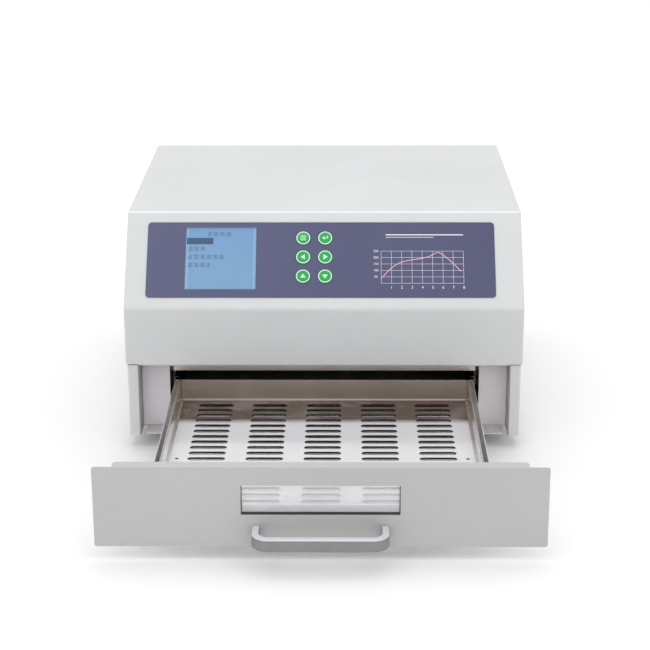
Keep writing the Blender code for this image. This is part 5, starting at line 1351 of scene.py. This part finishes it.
def key_marks():
    """Outlines of each key's sign, in the order of the key names."""
    arrow = [(-3.0, 0.0), (1.9, 3.1), (1.9, -3.1)]

    def spun(angle):
        turn = math.radians(angle)
        return [(x * math.cos(turn) - y * math.sin(turn), x * math.sin(turn) + y * math.cos(turn))
                for x, y in arrow]

    bars = [rectangle(-3.2, up - 0.5, 3.2, up + 0.5) for up in (-2.3, 0.0, 2.3)]
    hook = [rectangle(-0.4, -0.5, 3.2, 0.5), rectangle(2.3, 0.55, 3.2, 3.0),
            [(-3.4, 0.0), (-0.45, 2.2), (-0.45, -2.2)]]
    return (bars, hook, [spun(0)], [spun(180)], [spun(-90)], [spun(90)])


def ribbon_print(points, width, height=0.05, closed=False):
    outline = strip(points, width, closed)
    outlines = outline if closed else (outline,)
    return slab("XY", FILM_FACE, FILM_FACE + height, *outlines)


def chart_print():
    """Grid, axis numbers and temperature curve of the printed chart."""
    left, bottom, right, top = 61.8, 29.8, 150.8, 67.5
    grid = []
    for index in range(9):
        x = left + (right - left) * index / 8
        grid.append(slab("XY", FILM_FACE, FILM_FACE + 0.03, rectangle(x - 0.2, bottom, x + 0.2, top)))
    for index in range(6):
        up = bottom + (top - bottom) * index / 5
        line = rectangle(left, up - 0.2, right, up + 0.2)
        grid.append(slab("XY", FILM_FACE + 0.031, FILM_FACE + 0.06, line))
    numbers = [numeral(str(index), 3.4, (left + (right - left) * index / 8, 25.0))
               for index in range(1, 9)]
    numbers += [numeral(str(50 * index), 2.7, (56.2, bottom + (top - bottom) * index / 5))
                for index in range(1, 6)]
    peaks = [(62.1, 35.6), (72.5, 47.3), (83.3, 54.3), (94.2, 57.0), (105.0, 58.8), (114.8, 61.7),
             (122.4, 65.7), (127.8, 63.7), (138.4, 54.3), (147.9, 43.8)]
    return gathered(*grid), gathered(*numbers), smooth_line(peaks)


def smooth_line(points, parts=6):
    """Catmull-Rom curve through the points."""
    ends = [points[0], *points, points[-1]]
    result = []
    for index in range(len(points) - 1):
        a, b, c, d = (Vector(point) for point in ends[index:index + 4])
        for part in range(parts):
            t = part / parts
            result.append(tuple(0.5 * (2 * b + (c - a) * t + (2 * a - 5 * b + 4 * c - d) * t ** 2
                                       + (3 * b - a - 3 * c + d) * t ** 3)))
    return result + [points[-1]]


def display_marks():
    """Menu rows on the display: plain blocks in place of words, one row inverted."""
    blocks, bar = [], []
    rows = ((-127.3, 88.6, (5.0, 6.0, 5.4, 6.2)), (-148.0, 71.2, (5.2, 5.8, 5.0)),
            (-148.0, 61.6, (5.0, 6.0, 5.4, 6.0, 5.2, 5.6)), (-148.0, 52.0, (5.6, 5.2, 5.8, 4.6)))
    for start, up, widths in rows:
        x = start
        for index, width in enumerate(widths):
            for part in range(3):
                low = up - 2.4 + part * 1.8
                trim = 0.7 * ((index + part) % 3)
                row = rectangle(x + trim, low, x + width, low + 0.9)
                blocks.append(slab("XY", -1.0, -0.96, row))
            stem = x + width * 0.45
            blocks.append(slab("XY", -1.0, -0.96, rectangle(stem, up - 2.9, stem + 0.8, up + 2.7)))
            x += width + 1.2
    bar.append(slab("XY", -1.0, -0.95, rectangle(-149.3, 76.4, -120.5, 84.0)))
    return joined_blocks(blocks), gathered(*bar)


def joined_blocks(meshes):
    """Thin blocks at slightly different heights, so that none shares a face with another."""
    for index, mesh in enumerate(meshes):
        mesh.transform(at(0, 0, 0.0004 * index))
    return gathered(*meshes)


def build_controls(settings):
    body = "oven_body"
    outline = rounded(-192, 13.3, 185, 101.8, 4, 8)
    holes = [circle(x, up, 8.3) for x, up in KEY_CENTRES]
    film = slab("XY", FILM_BACK, FILM_FACE, outline, rectangle(*SCREEN), *holes)
    deliver("printed_overlay", eased(film, 0.12, 1), PANEL, "printed_film", body, "overlay_film",
            "control_overlay")
    field = slab("XY", -2.8, -1.0, rectangle(SCREEN[0] + 0.3, SCREEN[1] + 0.3, SCREEN[2] - 0.3,
                                             SCREEN[3] - 0.3))
    deliver("display_glass", eased(field, 0.15, 1), PANEL, "display_field", body, "display_glass",
            "display_screen")
    words, bar = display_marks()
    deliver("display_rows", words, PANEL, "display_ink", body, "display_glass")
    deliver("display_chosen_row", bar, PANEL, "display_bar", body, "display_glass")
    grid, numbers, peaks = chart_print()
    deliver("chart_grid", grid, PANEL, "printed_grid", body, "overlay_film")
    deliver("chart_numbers", numbers, PANEL, "printed_white", body, "overlay_film")
    deliver("chart_curve", ribbon_print(peaks, 0.9, 0.09), PANEL, "printed_pink", body,
            "overlay_film")
    rule = [slab("XY", FILM_FACE, FILM_FACE + 0.05, outline) for outline in
            (rectangle(67, 86.2, 151, 87.4), rectangle(67, 83.6, 119, 84.2))]
    deliver("title_rule", gathered(*rule), PANEL, "printed_white", body, "overlay_film")
    ring = turned([(6.4, 1.5), (7.6, 1.5), (7.6, 1.67), (6.4, 1.7)], 56, ring=True)
    ring.shade_smooth()
    ring.set_sharp_from_angle(angle=math.radians(40))
    for name, (x, up), marks in zip(KEY_NAMES, KEY_CENTRES, key_marks()):
        place = PANEL @ at(x, up, 0)
        deliver(f"{name}_cap", key_mesh(), place, "key_green", name, "key_plastic", name)
        deliver(f"{name}_ring", ring.copy(), place, "key_ring", name, "key_plastic")
        signs = gathered(*[slab("XY", 1.64, 1.74, outline) for outline in marks])
        deliver(f"{name}_sign", signs, place, "key_mark", name, "key_plastic")


# ---------------------------------------------------------------- drawer

def drawer_front_mesh():
    window = rounded(-75.5, 32.3, 75.5, 62.3, 1.0, 4)
    holes = [circle(x, HANDLE_SCREW[1], 2.3, 24) for x in (-HANDLE_SCREW[0], HANDLE_SCREW[0])]
    face = slab("XZ", -1.8, -0.3, rounded(-HALF_WIDTH, -0.5, HALF_WIDTH, 80.7, 2.2), window, *holes)
    lip = filleted([(-196, -1.2), (-196, 11.7), (196, 11.7), (196, -1.2)], 4)
    return eased(joined(face, slab("XY", 79.2, 80.7, lip)), 0.45, 3)


def window_gasket_mesh():
    """Rubber strip along the bottom and the sides of the window."""
    low, high, out = 32.7, 61.9, 75.1
    shape = [(-out, low), (out, low), (out, high), (out - 0.7, high), (out - 0.7, low + 2.4),
             (-out + 0.7, low + 2.4), (-out + 0.7, high), (-out, high)]
    return eased(slab("XZ", -1.5, -0.5, shape), 0.15, 1)


def handle_mesh(settings):
    """Bar handle with round corners and softened edges."""
    outer, inner = 64.8, 57.8
    front, back, seat = -36.6, -28.0, -2.1
    path = filleted([(-outer, seat), (-outer, front), (outer, front), (outer, seat)], 16, steps=16)
    hollow = filleted([(inner, seat), (inner, back), (-inner, back), (-inner, seat)], 9, steps=12)
    return eased(slab("XY", 9.7, 22.0, path + hollow), settings.handle_edge / MM, 4, 40)


def tray_meshes(settings):
    """The tray's slotted floor and its folded side, rear and front walls."""
    rows, pitch = settings.slot_rows, 15.0
    first = 18.2
    middle = (13.95 + 288.0) / 2
    pattern = {"rows": rows, "columns": settings.slot_columns,
               "slot_length": settings.slot_length / MM,
               "slot_shift": first + pitch * (rows - 1) / 2 - middle}
    width, rim = settings.slot_width / MM, 0.5
    floor = grown(tree_of(slotted_plate_tree), width=307.9, depth=288.0 - 13.95,
                  slot_width=width, **pattern)
    floor = eased(moved(floor, at(0, middle, 36.0)), 0)
    pattern["slot_length"] -= rim
    rims = grown(tree_of(slot_rim_tree), sheet=rim, depth=1.7, slot_width=width - rim, **pattern)
    rims = eased(moved(rims, at(0, middle, 36.1)), 0)
    wall = filleted([(154.0, 36.5), (157.0, 36.5), (157.0, 59.5), (163.0, 59.5)], 1.3)
    right = eased(slab("XZ", 0, TRAY_BACK, strip(wall, 1.0)), 0.15, 1)
    rear = filleted([(288.05, 36.5), (291.5, 36.5), (291.5, TRAY_RIM)], 1.6)
    back = eased(slab("YZ", -156.4, 156.4, strip(rear, 1.0)), 0.15, 1)
    turn = filleted([(13.9, 36.5), (12.5, 36.5), (12.5, 30.0)], 0.9)
    apron = eased(slab("YZ", -156.4, 156.4, strip(turn, 1.0)), 0.15, 1)
    return floor, rims, mirror_image(right), right, back, apron


def rail_mesh(kind):
    """C-shaped rail on the right, with rolled bends."""
    lip, web, low, high = RAIL_SECTION[kind]
    path = filleted([(lip, low), (web, low), (web, high), (lip, high)], 1.5)
    start = 12.3 if kind == "inner" else 31.8
    rail = slab("XZ", start, start + RAIL_LENGTH, strip(path, SHEET))
    if kind == "fixed":
        rail = joined(rail, block((165.8, 56.8, 38.4), (169.7, 277, 55.3)))
    return eased(rail, 0.2, 1)


def build_drawer(settings):
    body = "drawer"
    deliver("drawer_face", drawer_front_mesh(), DRAWER, "front_paint", body, "case_paint",
            "drawer_front")
    deliver("pull_handle", handle_mesh(settings), DRAWER, "silver_lacquer", body,
            "satin_aluminium", "drawer_handle")
    deliver("window_gasket", window_gasket_mesh(), DRAWER, "black_plastic", body, "black_plastic")
    floor, rims, left, right, back, apron = tray_meshes(settings)
    deliver("tray_floor_plate", floor, DRAWER, "tray_steel", body, "tray_steel", "solder_tray")
    deliver("tray_slot_rims", rims, DRAWER, "slot_rim_steel", body, "tray_steel")
    # Dark discs on the tray's two small holes: painted shade of the holes.
    hole_spots = [(-147.0, 123.5, 37.0), (147.0, 123.5, 37.0)]
    deliver("tray_rivets", screws(hole_spots, 1.9, 0.5, (0.0, 0.0, 0.0), 9), DRAWER, "dark_steel", body,
            "tray_steel")
    for name, mesh in (("left", left), ("right", right)):
        deliver(f"tray_side_{name}", mesh, DRAWER, "tray_side_steel", body, "tray_steel")
    deliver("tray_rear_wall", back, DRAWER, "tray_rear_steel", body, "tray_steel")
    deliver("tray_apron", apron, DRAWER, "tray_steel", body, "tray_steel")
    places = [(x, 4.5, z) for x in (-82.5, 0, 82.5) for z in (26.0, 68.5)]
    deliver("retainer_screws", screws(places, 2.2, 1.1, (-math.pi / 2, 0.0, 0.0), 7), DRAWER,
            "screw_steel", body, "zinc_steel")
    ball = evaluated(turned(arc(0, 0, 0.62, -90, 90, 8), 12))
    for side, name in ((-1, "left"), (1, "right")):
        for kind, frame, rider in (("fixed", MACHINE, "oven_body"),
                                   ("middle", MIDDLE, f"slide_middle_{name}"),
                                   ("inner", DRAWER, "drawer")):
            mesh = rail_mesh(kind)
            deliver(f"rail_{kind}_{name}", mesh if side > 0 else mirror_image(mesh), frame,
                    "rail_steel", rider, "zinc_steel", f"slide_{kind}_{name}")
        rows = []
        for z in (40.5, 53.2):
            line = grown(tree_of(row_tree), ball, count=14, step=(0.0, 8.0, 0.0))
            rows.append(moved(line, at(160.6 * side, 90, z)))
        balls = gathered(*rows)
        balls.shade_smooth()
        deliver(f"slide_balls_{name}", balls, MIDDLE, "screw_steel", f"slide_middle_{name}",
                "zinc_steel")


# ---------------------------------------------------------------- softened CAD parts

SOFTENED = [
    # node, finish, body, slot, edge in millimetres
    ("chamber_liner", "liner_steel", "oven_body", "liner_steel", 0.25),
    ("chamber_insulation", "fibre_blanket", "oven_body", "fibre_blanket", 1.5),
    ("floor_insulation", "fibre_blanket", "oven_body", "fibre_blanket", 1.5),
    ("heat_shield", "zinc_steel", "oven_body", "zinc_steel", 0.3),
    ("heater_reflector", "liner_steel", "oven_body", "liner_steel", 0.15),
    ("heater_holder_left", "ceramic", "oven_body", "ceramic", 0.5),
    ("heater_holder_right", "ceramic", "oven_body", "ceramic", 0.5),
    ("temperature_probe_left", "dark_steel", "oven_body", "dark_steel", 0.1),
    ("temperature_probe_right", "dark_steel", "oven_body", "dark_steel", 0.1),
    ("circulation_motor", "dark_steel", "oven_body", "dark_steel", 0.5),
    ("circulation_impeller", "fan_steel", "circulation_impeller", "fan_steel", 0.15),
    ("display_module", "zinc_steel", "oven_body", "zinc_steel", 0.4),
    ("control_board", "circuit_board", "oven_body", "circuit_board", 0.2),
    ("control_ribbon", "cable_grey", "oven_body", "cable_grey", 0.25),
    ("power_switch_housing", "black_plastic", "oven_body", "black_plastic", 0.4),
    ("power_heatsink", "satin_aluminium", "oven_body", "satin_aluminium", 0.25),
    ("window_pane", "window_glass", "drawer", "window_glass", 0.3),
    ("window_retainer", "zinc_steel", "drawer", "zinc_steel", 0.25),
    ("handle_screw_left", "screw_steel", "drawer", "zinc_steel", 0.15),
    ("handle_screw_right", "screw_steel", "drawer", "zinc_steel", 0.15),
]


def build_softened():
    for node, look, body, slot, edge in SOFTENED:
        deliver(f"{node}_eased", eased(cad_copy(node), edge), MACHINE, look, body, slot, node)


# ---------------------------------------------------------------- power parts

def build_power():
    body = "oven_body"
    low, high = (MACHINE.inverted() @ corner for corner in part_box("power_board"))
    bottom = low.z
    board = eased(block((low.x, low.y, bottom + 6), (high.x, high.y, bottom + 7.6)), 0.15, 1)
    deliver("mains_board", board, MACHINE, "circuit_board", body, "circuit_board", "power_board")
    posts = []
    for x in (low.x + 6, high.x - 6):
        for y in (low.y + 6, high.y - 6):
            post = turned([(0, 0), (2.8, 0), (2.8, 5.9), (0, 5.9)], 6)
            posts.append(moved(post, at(x, y, bottom)))
    deliver("board_posts", eased(gathered(*posts), 0.2, 1), MACHINE, "brass", body, "zinc_steel")
    relays, cans = [], []
    for index in range(2):
        x = (low.x + high.x) / 2 - 45 + index * 26
        y = (low.y + high.y) / 2
        relays.append(block((x, y + 11, bottom + 7.7), (x + 18, y + 41, bottom + 15.9)))
    deliver("relays", eased(gathered(*relays), 0.6), MACHINE, "relay_blue", body, "black_plastic")
    for x, y, radius in ((22, 20, 7), (42, 20, 7), (30, -14, 5), (44, -14, 5), (-20, -20, 4)):
        centre = ((low.x + high.x) / 2 + x, (low.y + high.y) / 2 + y, bottom + 7.7)
        can = turned([(0, 0), (radius, 0), (radius, 1.2), (radius - 0.4, 1.7), (radius, 2.2),
                      (radius, 8.0)] + arc(radius - 0.7, 7.6, 0.7, 0, 90) + [(0, 8.2)], 28)
        cans.append(moved(can, at(*centre)))
    deliver("capacitors", eased(gathered(*cans), 0), MACHINE, "cap_black", body, "black_plastic")
    low, high = (MACHINE.inverted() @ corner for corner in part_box("supply_transformer"))
    middle = (low + high) / 2
    tall = high.z - low.z
    core = cut(block((low.x, middle.y - 12, low.z), (high.x, middle.y + 12, high.z)),
               block((low.x + 9, middle.y - 40, low.z + tall * 0.13),
                     (high.x - 9, middle.y + 40, high.z - tall * 0.13)))
    deliver("transformer_core", eased(core, 0.5), MACHINE, "laminations", body, "transformer_core",
            "supply_transformer")
    coil = slab("XZ", low.y, high.y, rounded(low.x + 9.5, low.z + tall * 0.15, high.x - 9.5,
                                             high.z - tall * 0.15, 5))
    deliver("transformer_winding", eased(coil, 1.6, 3), MACHINE, "copper_winding", body,
            "transformer_core")


# ---------------------------------------------------------------- stage

def area_light(name, size, watts, location, target, colour=(1, 1, 1)):
    light = bpy.data.lights.new(name, "AREA")
    light.shape = "RECTANGLE"
    light.size, light.size_y = size
    light.energy = watts
    light.color = colour
    lamp = bpy.data.objects.new(name, light)
    lamp.location = location
    aim = Vector(target) - Vector(location)
    lamp.rotation_euler = aim.to_track_quat("-Z", "Y").to_euler()
    bpy.context.scene.collection.objects.link(lamp)
    return lamp


def build_stage(settings):
    world = bpy.data.worlds.new("studio")
    world.use_nodes = True
    sky = world.node_tree.nodes["Background"]
    sky.inputs["Color"].default_value = (1, 1, 1, 1)
    heading = add_node(world.node_tree, "ShaderNodeSeparateXYZ",
                       vector=world.node_tree.nodes.new("ShaderNodeTexCoord").outputs["Generated"])
    rise = math_node(world.node_tree, "MAXIMUM", heading.outputs[2], 0.0)
    glow = math_node(world.node_tree, "MULTIPLY", math_node(world.node_tree, "POWER", rise, 2.0),
                     settings.overhead)
    level = math_node(world.node_tree, "ADD", glow, settings.surround)
    backdrop = world.node_tree.nodes.new("ShaderNodeLightPath").outputs["Is Camera Ray"]
    level = math_node(world.node_tree, "MAXIMUM", level, backdrop)
    world.node_tree.links.new(level, sky.inputs["Strength"])
    bpy.context.scene.world = world
    bpy.context.scene.view_settings.view_transform = "Standard"
    wide = 60.0
    ground = bpy.data.meshes.new("studio_floor")
    ground.from_pydata([(-wide, -wide, 0), (wide, -wide, 0), (wide, wide, 0), (-wide, wide, 0)], [],
                       [(0, 1, 2, 3)])
    look = Look("studio_floor", roughness=0.7, Specular_IOR_Level=0.1)
    clouds = look.group(grain_group, scale=40.0, cloud_scale=0.8)["Clouds"]
    look.set("Base Color", look.mix(clouds, (0.96, 0.96, 0.96), (0.97, 0.97, 0.97)))
    ground.materials.append(look.material)
    floor = bpy.data.objects.new("studio_floor", ground)
    bpy.context.scene.collection.objects.link(floor)
    area_light("top_light", (3.2, 3.2), settings.top_watts, (0.0, -0.2, 2.6), (0, 0, 0))
    area_light("front_light", (2.6, 1.4), settings.front_watts, (-0.6, -3.0, 1.9), (0, 0, 0.1))
    camera = bpy.data.cameras.new("camera")
    camera.sensor_width = 36.0
    camera.lens = 98.66
    camera.clip_end = 200.0
    eye = bpy.data.objects.new("camera", camera)
    eye.matrix_world = (at(0.0234, -1.8626, 0.7493) @ Matrix.Rotation(0.01217, 4, "Z")
                        @ Matrix.Rotation(math.radians(90) - 0.32224, 4, "X")
                        @ Matrix.Rotation(-0.00325, 4, "Z"))
    bpy.context.scene.collection.objects.link(eye)
    bpy.context.scene.camera = eye


# ---------------------------------------------------------------- settings, operators, panel

def length(name, what, default, low, high):
    return FloatProperty(name=name, description=what, default=default * MM, min=low * MM,
                         max=high * MM, unit="LENGTH")


def tone(name, what, default):
    return FloatVectorProperty(name=name, description=what, default=default, size=3, min=0.0,
                               max=1.0, subtype="COLOR")


class OvenCaseSettings(bpy.types.PropertyGroup):
    fold_radius: length("Fold radius", "Outer radius of the hood's folds", 2.2, 0.5, 5.0)
    case_colour: tone("Hood colour", "Powder coat of the hood", (0.715, 0.73, 0.735))
    chassis_colour: tone("Chassis colour", "Powder coat of the chassis", (0.72, 0.72, 0.715))
    # A darker copy of the hood's paint: painted shade on the drawer front.
    front_colour: tone("Drawer colour", "Powder coat of the drawer front", (0.535, 0.54, 0.535))
    # A paler copy of the base plate's paint: painted light in the mouth's recess.
    frame_colour: tone("Frame colour", "Paint of the plate round the mouth", (0.98, 0.925, 0.96))
    base_colour: tone("Base colour", "Paint of the base plate", (0.76, 0.74, 0.76))


class OvenDrawerSettings(bpy.types.PropertyGroup):
    slot_length: length("Slot length", "Length of the slots in the tray", 38.0, 10.0, 50.0)
    slot_width: length("Slot width", "Width of the slots in the tray", 8.4, 2.0, 10.0)
    slot_rows: IntProperty(name="Slot rows", description="Rows of slots", default=18, min=2, max=18)
    slot_columns: IntProperty(name="Slot columns", description="Columns of slots", default=5,
                              min=1, max=5)
    handle_edge: length("Handle edge", "Rounding of the handle's edges", 1.3, 0.3, 3.0)


class OvenControlSettings(bpy.types.PropertyGroup):
    film_left: tone("Film, left", "Overlay colour at its left end", (0.076, 0.085, 0.188))
    film_right: tone("Film, right", "Overlay colour at its right end", (0.048, 0.053, 0.142))
    key_colour: tone("Key colour", "Colour of the keys", (0.008, 0.42, 0.085))


class OvenInsideSettings(bpy.types.PropertyGroup):
    filament_turns: IntProperty(name="Filament turns", description="Turns of each heating wire",
                                default=90, min=20, max=160)
    fan_blades: IntProperty(name="Fan blades", description="Blades of the exhaust fan", default=7,
                            min=3, max=11)
    guard_rings: IntProperty(name="Guard rings", description="Rings of the fan guard", default=5,
                             min=2, max=8)


class OvenStageSettings(bpy.types.PropertyGroup):
    surround: FloatProperty(name="Surround", description="Strength of the light from all round",
                            default=0.56, min=0.0, max=3.0)
    overhead: FloatProperty(name="Overhead", description="Strength of the soft light overhead",
                            default=1.0, min=0.0, max=9.0)
    top_watts: FloatProperty(name="Top light", description="Power of the light above", default=4.0,
                             min=0.0, max=500.0, unit="POWER")
    front_watts: FloatProperty(name="Front light", description="Power of the light in front",
                               default=4.0, min=0.0, max=500.0, unit="POWER")


class OVEN_OT_case(bpy.types.Operator):
    """Build the hood, the chassis, the feet and their screws"""
    bl_idname = "oven.build_case"
    bl_label = "Case"

    def execute(self, context):
        build_case(context.scene.oven_case)
        return {"FINISHED"}


class OVEN_OT_chamber(bpy.types.Operator):
    """Build the heaters of the chamber"""
    bl_idname = "oven.build_chamber"
    bl_label = "Chamber"

    def execute(self, context):
        build_chamber(context.scene.oven_inside)
        return {"FINISHED"}


class OVEN_OT_softened(bpy.types.Operator):
    """Soften the edges of the parts that keep their CAD shape, and give them their finish"""
    bl_idname = "oven.soften_parts"
    bl_label = "Softened parts"

    def execute(self, context):
        build_softened()
        return {"FINISHED"}


class OVEN_OT_rear(bpy.types.Operator):
    """Build the exhaust fan, the guard, the inlet, the fuse holder and the switch"""
    bl_idname = "oven.build_rear"
    bl_label = "Rear fittings"

    def execute(self, context):
        build_rear(context.scene.oven_inside)
        return {"FINISHED"}


class OVEN_OT_controls(bpy.types.Operator):
    """Build the printed overlay, the display and the keys"""
    bl_idname = "oven.build_controls"
    bl_label = "Controls"

    def execute(self, context):
        build_controls(context.scene.oven_controls)
        return {"FINISHED"}


class OVEN_OT_drawer(bpy.types.Operator):
    """Build the drawer front, the handle, the slotted tray and the slides"""
    bl_idname = "oven.build_drawer"
    bl_label = "Drawer"

    def execute(self, context):
        build_drawer(context.scene.oven_drawer)
        return {"FINISHED"}


class OVEN_OT_power(bpy.types.Operator):
    """Build the board and the transformer above the chamber"""
    bl_idname = "oven.build_power"
    bl_label = "Power parts"

    def execute(self, context):
        build_power()
        return {"FINISHED"}


class OVEN_OT_stage(bpy.types.Operator):
    """Set the floor, the lights and the camera"""
    bl_idname = "oven.build_stage"
    bl_label = "Stage"

    def execute(self, context):
        build_stage(context.scene.oven_stage)
        return {"FINISHED"}


OPERATORS = (OVEN_OT_case, OVEN_OT_chamber, OVEN_OT_softened, OVEN_OT_rear, OVEN_OT_controls,
             OVEN_OT_drawer, OVEN_OT_power, OVEN_OT_stage)
SETTINGS = {"oven_case": OvenCaseSettings, "oven_drawer": OvenDrawerSettings,
            "oven_controls": OvenControlSettings, "oven_inside": OvenInsideSettings,
            "oven_stage": OvenStageSettings}


class OVEN_PT_panel(bpy.types.Panel):
    """The oven's sizes, colours and build steps"""
    bl_idname = "OVEN_PT_panel"
    bl_label = "Reflow oven"
    bl_space_type = "VIEW_3D"
    bl_region_type = "UI"
    bl_category = "Reflow oven"

    def draw(self, context):
        for name, group in SETTINGS.items():
            settings = getattr(context.scene, name)
            column = self.layout.column(align=True)
            for field in group.__annotations__:
                column.prop(settings, field)
        for operator in OPERATORS:
            self.layout.operator(operator.bl_idname)


def register():
    for item in (*SETTINGS.values(), *OPERATORS, OVEN_PT_panel):
        bpy.utils.register_class(item)
    for name, group in SETTINGS.items():
        setattr(bpy.types.Scene, name, PointerProperty(type=group))


def unregister():
    for name in SETTINGS:
        delattr(bpy.types.Scene, name)
    for item in (OVEN_PT_panel, *OPERATORS, *SETTINGS.values()):
        bpy.utils.unregister_class(item)


def main():
    register()
    for operator in OPERATORS:
        group, name = operator.bl_idname.split(".")
        getattr(getattr(bpy.ops, group), name)()


if __name__ == "__main__":
    main()
